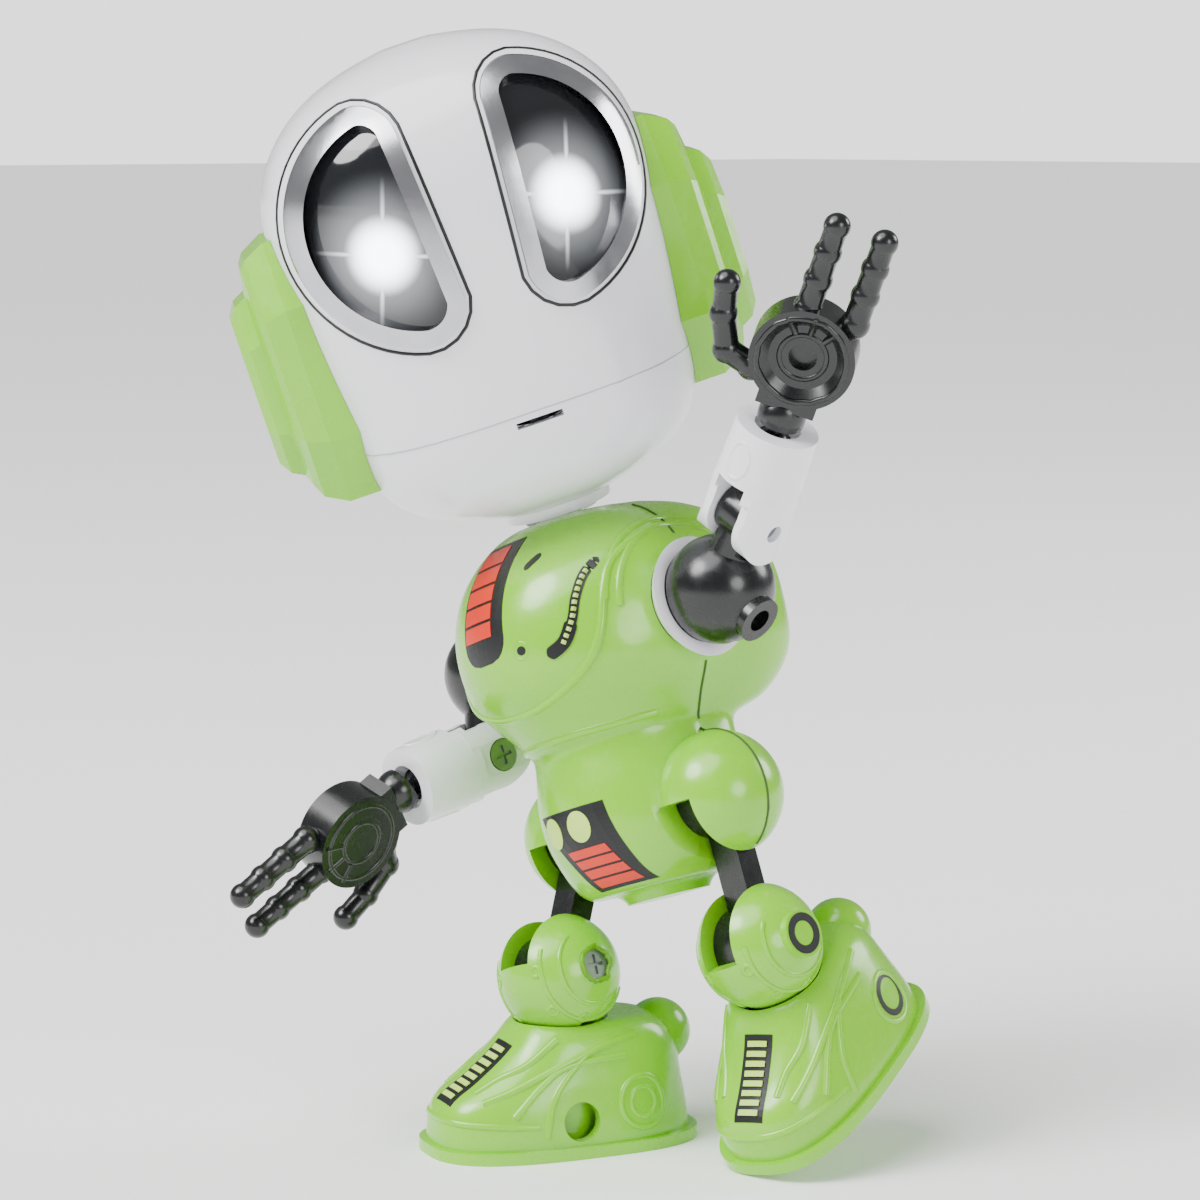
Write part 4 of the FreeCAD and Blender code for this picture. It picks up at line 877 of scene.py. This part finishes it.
def makeFootRelief(name, side, look):
    place, skin, lime = places[f"foot_{name}"], skins[f"foot_{name}"], materials["limeAbs"]
    raised = []
    for radius, size in look["discs"]:
        disc = arcSpots((-side * look["heelX"], look["innerY"], look["innerZ"]), (0, 1, 0), (0, 0, 1),
                        radius, 0, 350, 35)
        raised.append(surfaceBead("heelDisc", disc, skin, place, size, size * 0.5, lime, True, 2))
    boss = arcSpots((side * look["heelX"], look["heelY"], look["heelZ"]), (0, 1, 0), (0, 0, 1),
                    look["bossRadius"], 0, 350, 35)
    raised.append(surfaceBead("heelBoss", boss, skin, place, *look["boss"], lime, True, 2))
    for flow in flowLines:
        for end in (1, -1):
            path = [(end * x, y, z) for x, y, z in flow]
            raised.append(surfaceBead("flowLine", path, skin, place, *look["flow"], lime))
    toe = arcSpots((0, look["toeY"], look["toeZ"]), (1, 0, 0), (0, -1, 0), look["toeRadius"], 15, 165)
    raised.append(surfaceBead("toeCap", toe, skin, place, *look["toe"], lime, steps=2))
    settle(joinPieces(f"foot_relief_{name}", raised), f"foot_{name}")


kneeLook = {   # mm on the knee's own axes
    "ball": 6.8, "ring": (1.35, 2.25), "arc": (0.34, 0.14), "arcs": ((3.7, 150, 330), (5.3, 120, 300)),
    "rim": (0.3, 0.12), "rimX": 7.0, "rimRadius": 2.0, "boss": (0.26, 0.1), "bossRadius": 0.55,
    "bosses": ((3.1, -5.9, 0.6), (3.0, -4.6, -4.0), (3.9, -1.2, -5.4)),
}


def makeKnee(name, side, look):
    place, skin = places[f"knee_{name}"], skins[f"knee_{name}"]
    lime, ink = materials["limeAbs"], materials["blackInkAndShade"]
    ring = ringRows((side * sideStart, 0, 0), (0, 1, 0), (0, 0, 1), *look["ring"])
    ringPrint = printPatch(f"knee_ring_{name}", ring, skin, place, (-side, 0, 0), ink)
    settle(ringPrint, f"knee_{name}")
    raised = []
    for end in (1, -1):
        for height, first, last in look["arcs"]:
            radius = math.sqrt(look["ball"] ** 2 - height ** 2)
            arc = arcSpots((end * height, 0, 0), (0, 1, 0), (0, 0, 1), radius, first, last)
            raised.append(surfaceBead("kneeArc", arc, skin, place, *look["arc"], lime, steps=2))
        rim = arcSpots((-side * look["rimX"], 0, 0), (0, 1, 0), (0, 0, 1), look["rimRadius"], 0, 350, 35)
        raised.append(surfaceBead("screwRim", rim, skin, place, *look["rim"], lime, True, 1))
        for spot in look["bosses"]:
            centre = Vector((end * spot[0], spot[1], spot[2]))
            out = centre.normalized()
            right = out.cross(Vector((0, 0, 1))).normalized()
            boss = arcSpots(centre, right, out.cross(right), look["bossRadius"], 0, 340, 17)
            raised.append(surfaceBead("kneeBoss", boss, skin, place, *look["boss"], lime, True, 1))
    settle(joinPieces(f"knee_relief_{name}", raised), f"knee_{name}")


sleeveLook = {"y": 5.2, "middle": -7.4, "wide": 1.5, "high": 2.1, "line": (0.3, 0.16)}   # mm


def makeSleeve(name, look):
    # a moulded oval on the front and back of the forearm
    place, skin = places[f"forearm_{name}"], skinOf(f"forearm_sleeve_{name}")
    white, ovals = materials["whiteAbs"], []
    for way in (1, -1):
        ring = []
        for i in range(40):
            angle = 2 * math.pi * i / 40
            ring.append((look["wide"] * math.cos(angle), way * look["y"],
                         look["middle"] + look["high"] * math.sin(angle)))
        ovals.append(surfaceBead("sleeveOval", ring, skin, place, *look["line"], white, True, 1))
    settle(joinPieces(f"sleeve_relief_{name}", ovals), f"forearm_{name}")


handLook = {"reach": 7.6, "rim": 4.5, "hub": 2.5, "tendonIn": 2.8, "tendonOut": 5.0, "spread": 34,
            "face": 3.2, "ring": (0.34, 0.16), "tendon": (0.4, 0.2)}   # mm, and spread in degrees


def makeHand(name, look):
    # moulded rim, hub and tendons on both faces of the palm
    place, skin = places[f"hand_{name}"], skinOf(f"hand_{name}")
    nylon, ridges = materials["blackNylon"], []
    for face in (look["face"], -look["face"]):
        centre = Vector((0, face, -look["reach"]))
        for radius in (look["rim"], look["hub"]):
            ring = arcSpots(centre, (1, 0, 0), (0, 0, 1), radius, 0, 350, 35)
            ridges.append(surfaceBead("palmRing", ring, skin, place, *look["ring"], nylon, True, 1))
        for turn in (-look["spread"], 0, look["spread"]):
            angle = math.radians(turn - 90)
            way = Vector((math.cos(angle), 0, math.sin(angle)))
            ridge = [centre + way * look["tendonIn"], centre + way * look["tendonOut"]]
            ridges.append(surfaceBead("tendon", ridge, skin, place, *look["tendon"], nylon))
    settle(joinPieces(f"hand_relief_{name}", ridges), f"hand_{name}")


for name, side in (("left", 1), ("right", -1)):
    makeFootPrints(name, side, footLook)
    makeFootRelief(name, side, footLook)
    makeKnee(name, side, kneeLook)
    makeSleeve(name, sleeveLook)
    makeHand(name, handLook)
print("limbs dressed")


# the world looks brighter to the camera than it lights the robot
stageLook = {"floor": "#FBFBFB", "world": "#FFFFFF", "worldStrength": 0.35, "backdropStrength": 2.0,
             "half": 9, "grain": 60.0, "rough": (0.7, 0.8)}
cameraLook = {"azimuth": 47.849, "elevation": 6.986, "aim": (6.63, -0.75, 61.3), "distance": 420.0,
              "lens": 116.21, "sensor": 36, "nearest": 0.01}   # degrees and mm, nearest in metres
lightAim = (0, 0, 0.06)   # metres, as are the places and sizes of the lights
lightLooks = (
    dict(name="keyLight", kind="AREA", at=(-0.2, -0.7, 0.7), size=0.45, power=9.0),
    dict(name="fillLight", kind="AREA", at=(0.85, -0.1, 0.3), size=0.4, power=3.0),
    dict(name="rimLight", kind="AREA", at=(0.3, 0.8, 0.45), size=0.4, power=4.0),
    dict(name="skyLight", kind="SUN", at=(-0.1, -0.45, 0.9), size=0.9, power=3.4),
)


def makeStage(look):
    mesh = bpy.data.meshes.new("floorSheet")
    half = look["half"]
    corners = [(-half, -half, 0), (half, -half, 0), (half, half, 0), (-half, half, 0)]
    mesh.from_pydata(corners, [], [(0, 1, 2, 3)])
    floor = newObject("floorSheet", mesh)
    material, tree, coords = startMaterial("paperFloor")
    grain = addNode(tree, "ShaderNodeTexNoise", {"Vector": coords, "Scale": look["grain"]})
    rough = addNode(tree, "ShaderNodeMapRange", {"Value": grain.outputs["Fac"], "To Min": look["rough"][0],
                    "To Max": look["rough"][1]})
    finishMaterial(tree, addNode(tree, "ShaderNodeBsdfPrincipled", {"Base Color": linear(look["floor"]),
                   "Roughness": rough.outputs["Result"]}))
    mesh.materials.append(material)
    world = bpy.data.worlds.new("studio")
    world.use_nodes = True
    tree = world.node_tree
    tree.nodes.clear()
    seen = addNode(tree, "ShaderNodeLightPath").outputs["Is Camera Ray"]
    power = addNode(tree, "ShaderNodeMapRange", {"Value": seen, "To Min": look["worldStrength"],
                    "To Max": look["backdropStrength"]})
    back = addNode(tree, "ShaderNodeBackground", {"Color": linear(look["world"]),
                   "Strength": power.outputs["Result"]})
    addNode(tree, "ShaderNodeOutputWorld", {"Surface": back.outputs[0]})
    bpy.context.scene.world = world


def makeLights():
    for look in lightLooks:
        data = bpy.data.lights.new(look["name"], look["kind"])
        if look["kind"] == "AREA":
            data.shape = "DISK"
            data.size = look["size"]
        else:
            data.angle = look["size"]
        data.energy = look["power"]
        lamp = bpy.data.objects.new(look["name"], data)
        lamp.location = look["at"]
        way = Vector(lightAim) - Vector(look["at"])
        lamp.rotation_euler = way.to_track_quat("-Z", "Y").to_euler()
        bpy.context.scene.collection.objects.link(lamp)


def makeCamera(look):
    turn, rise = math.radians(look["azimuth"]), math.radians(look["elevation"])
    back = Vector((math.sin(turn) * math.cos(rise), -math.cos(turn) * math.cos(rise), math.sin(rise)))
    data = bpy.data.cameras.new("studioCamera")
    data.sensor_width = look["sensor"]
    data.lens = look["lens"]
    data.clip_start = look["nearest"]
    camera = bpy.data.objects.new("studioCamera", data)
    camera.location = (Vector(look["aim"]) + back * look["distance"]) * mm
    camera.rotation_euler = (-back).to_track_quat("-Z", "Y").to_euler()
    bpy.context.scene.collection.objects.link(camera)
    bpy.context.scene.camera = camera


makeStage(stageLook)
makeLights()
makeCamera(cameraLook)
print("stage set")

bpy.context.view_layer.update()
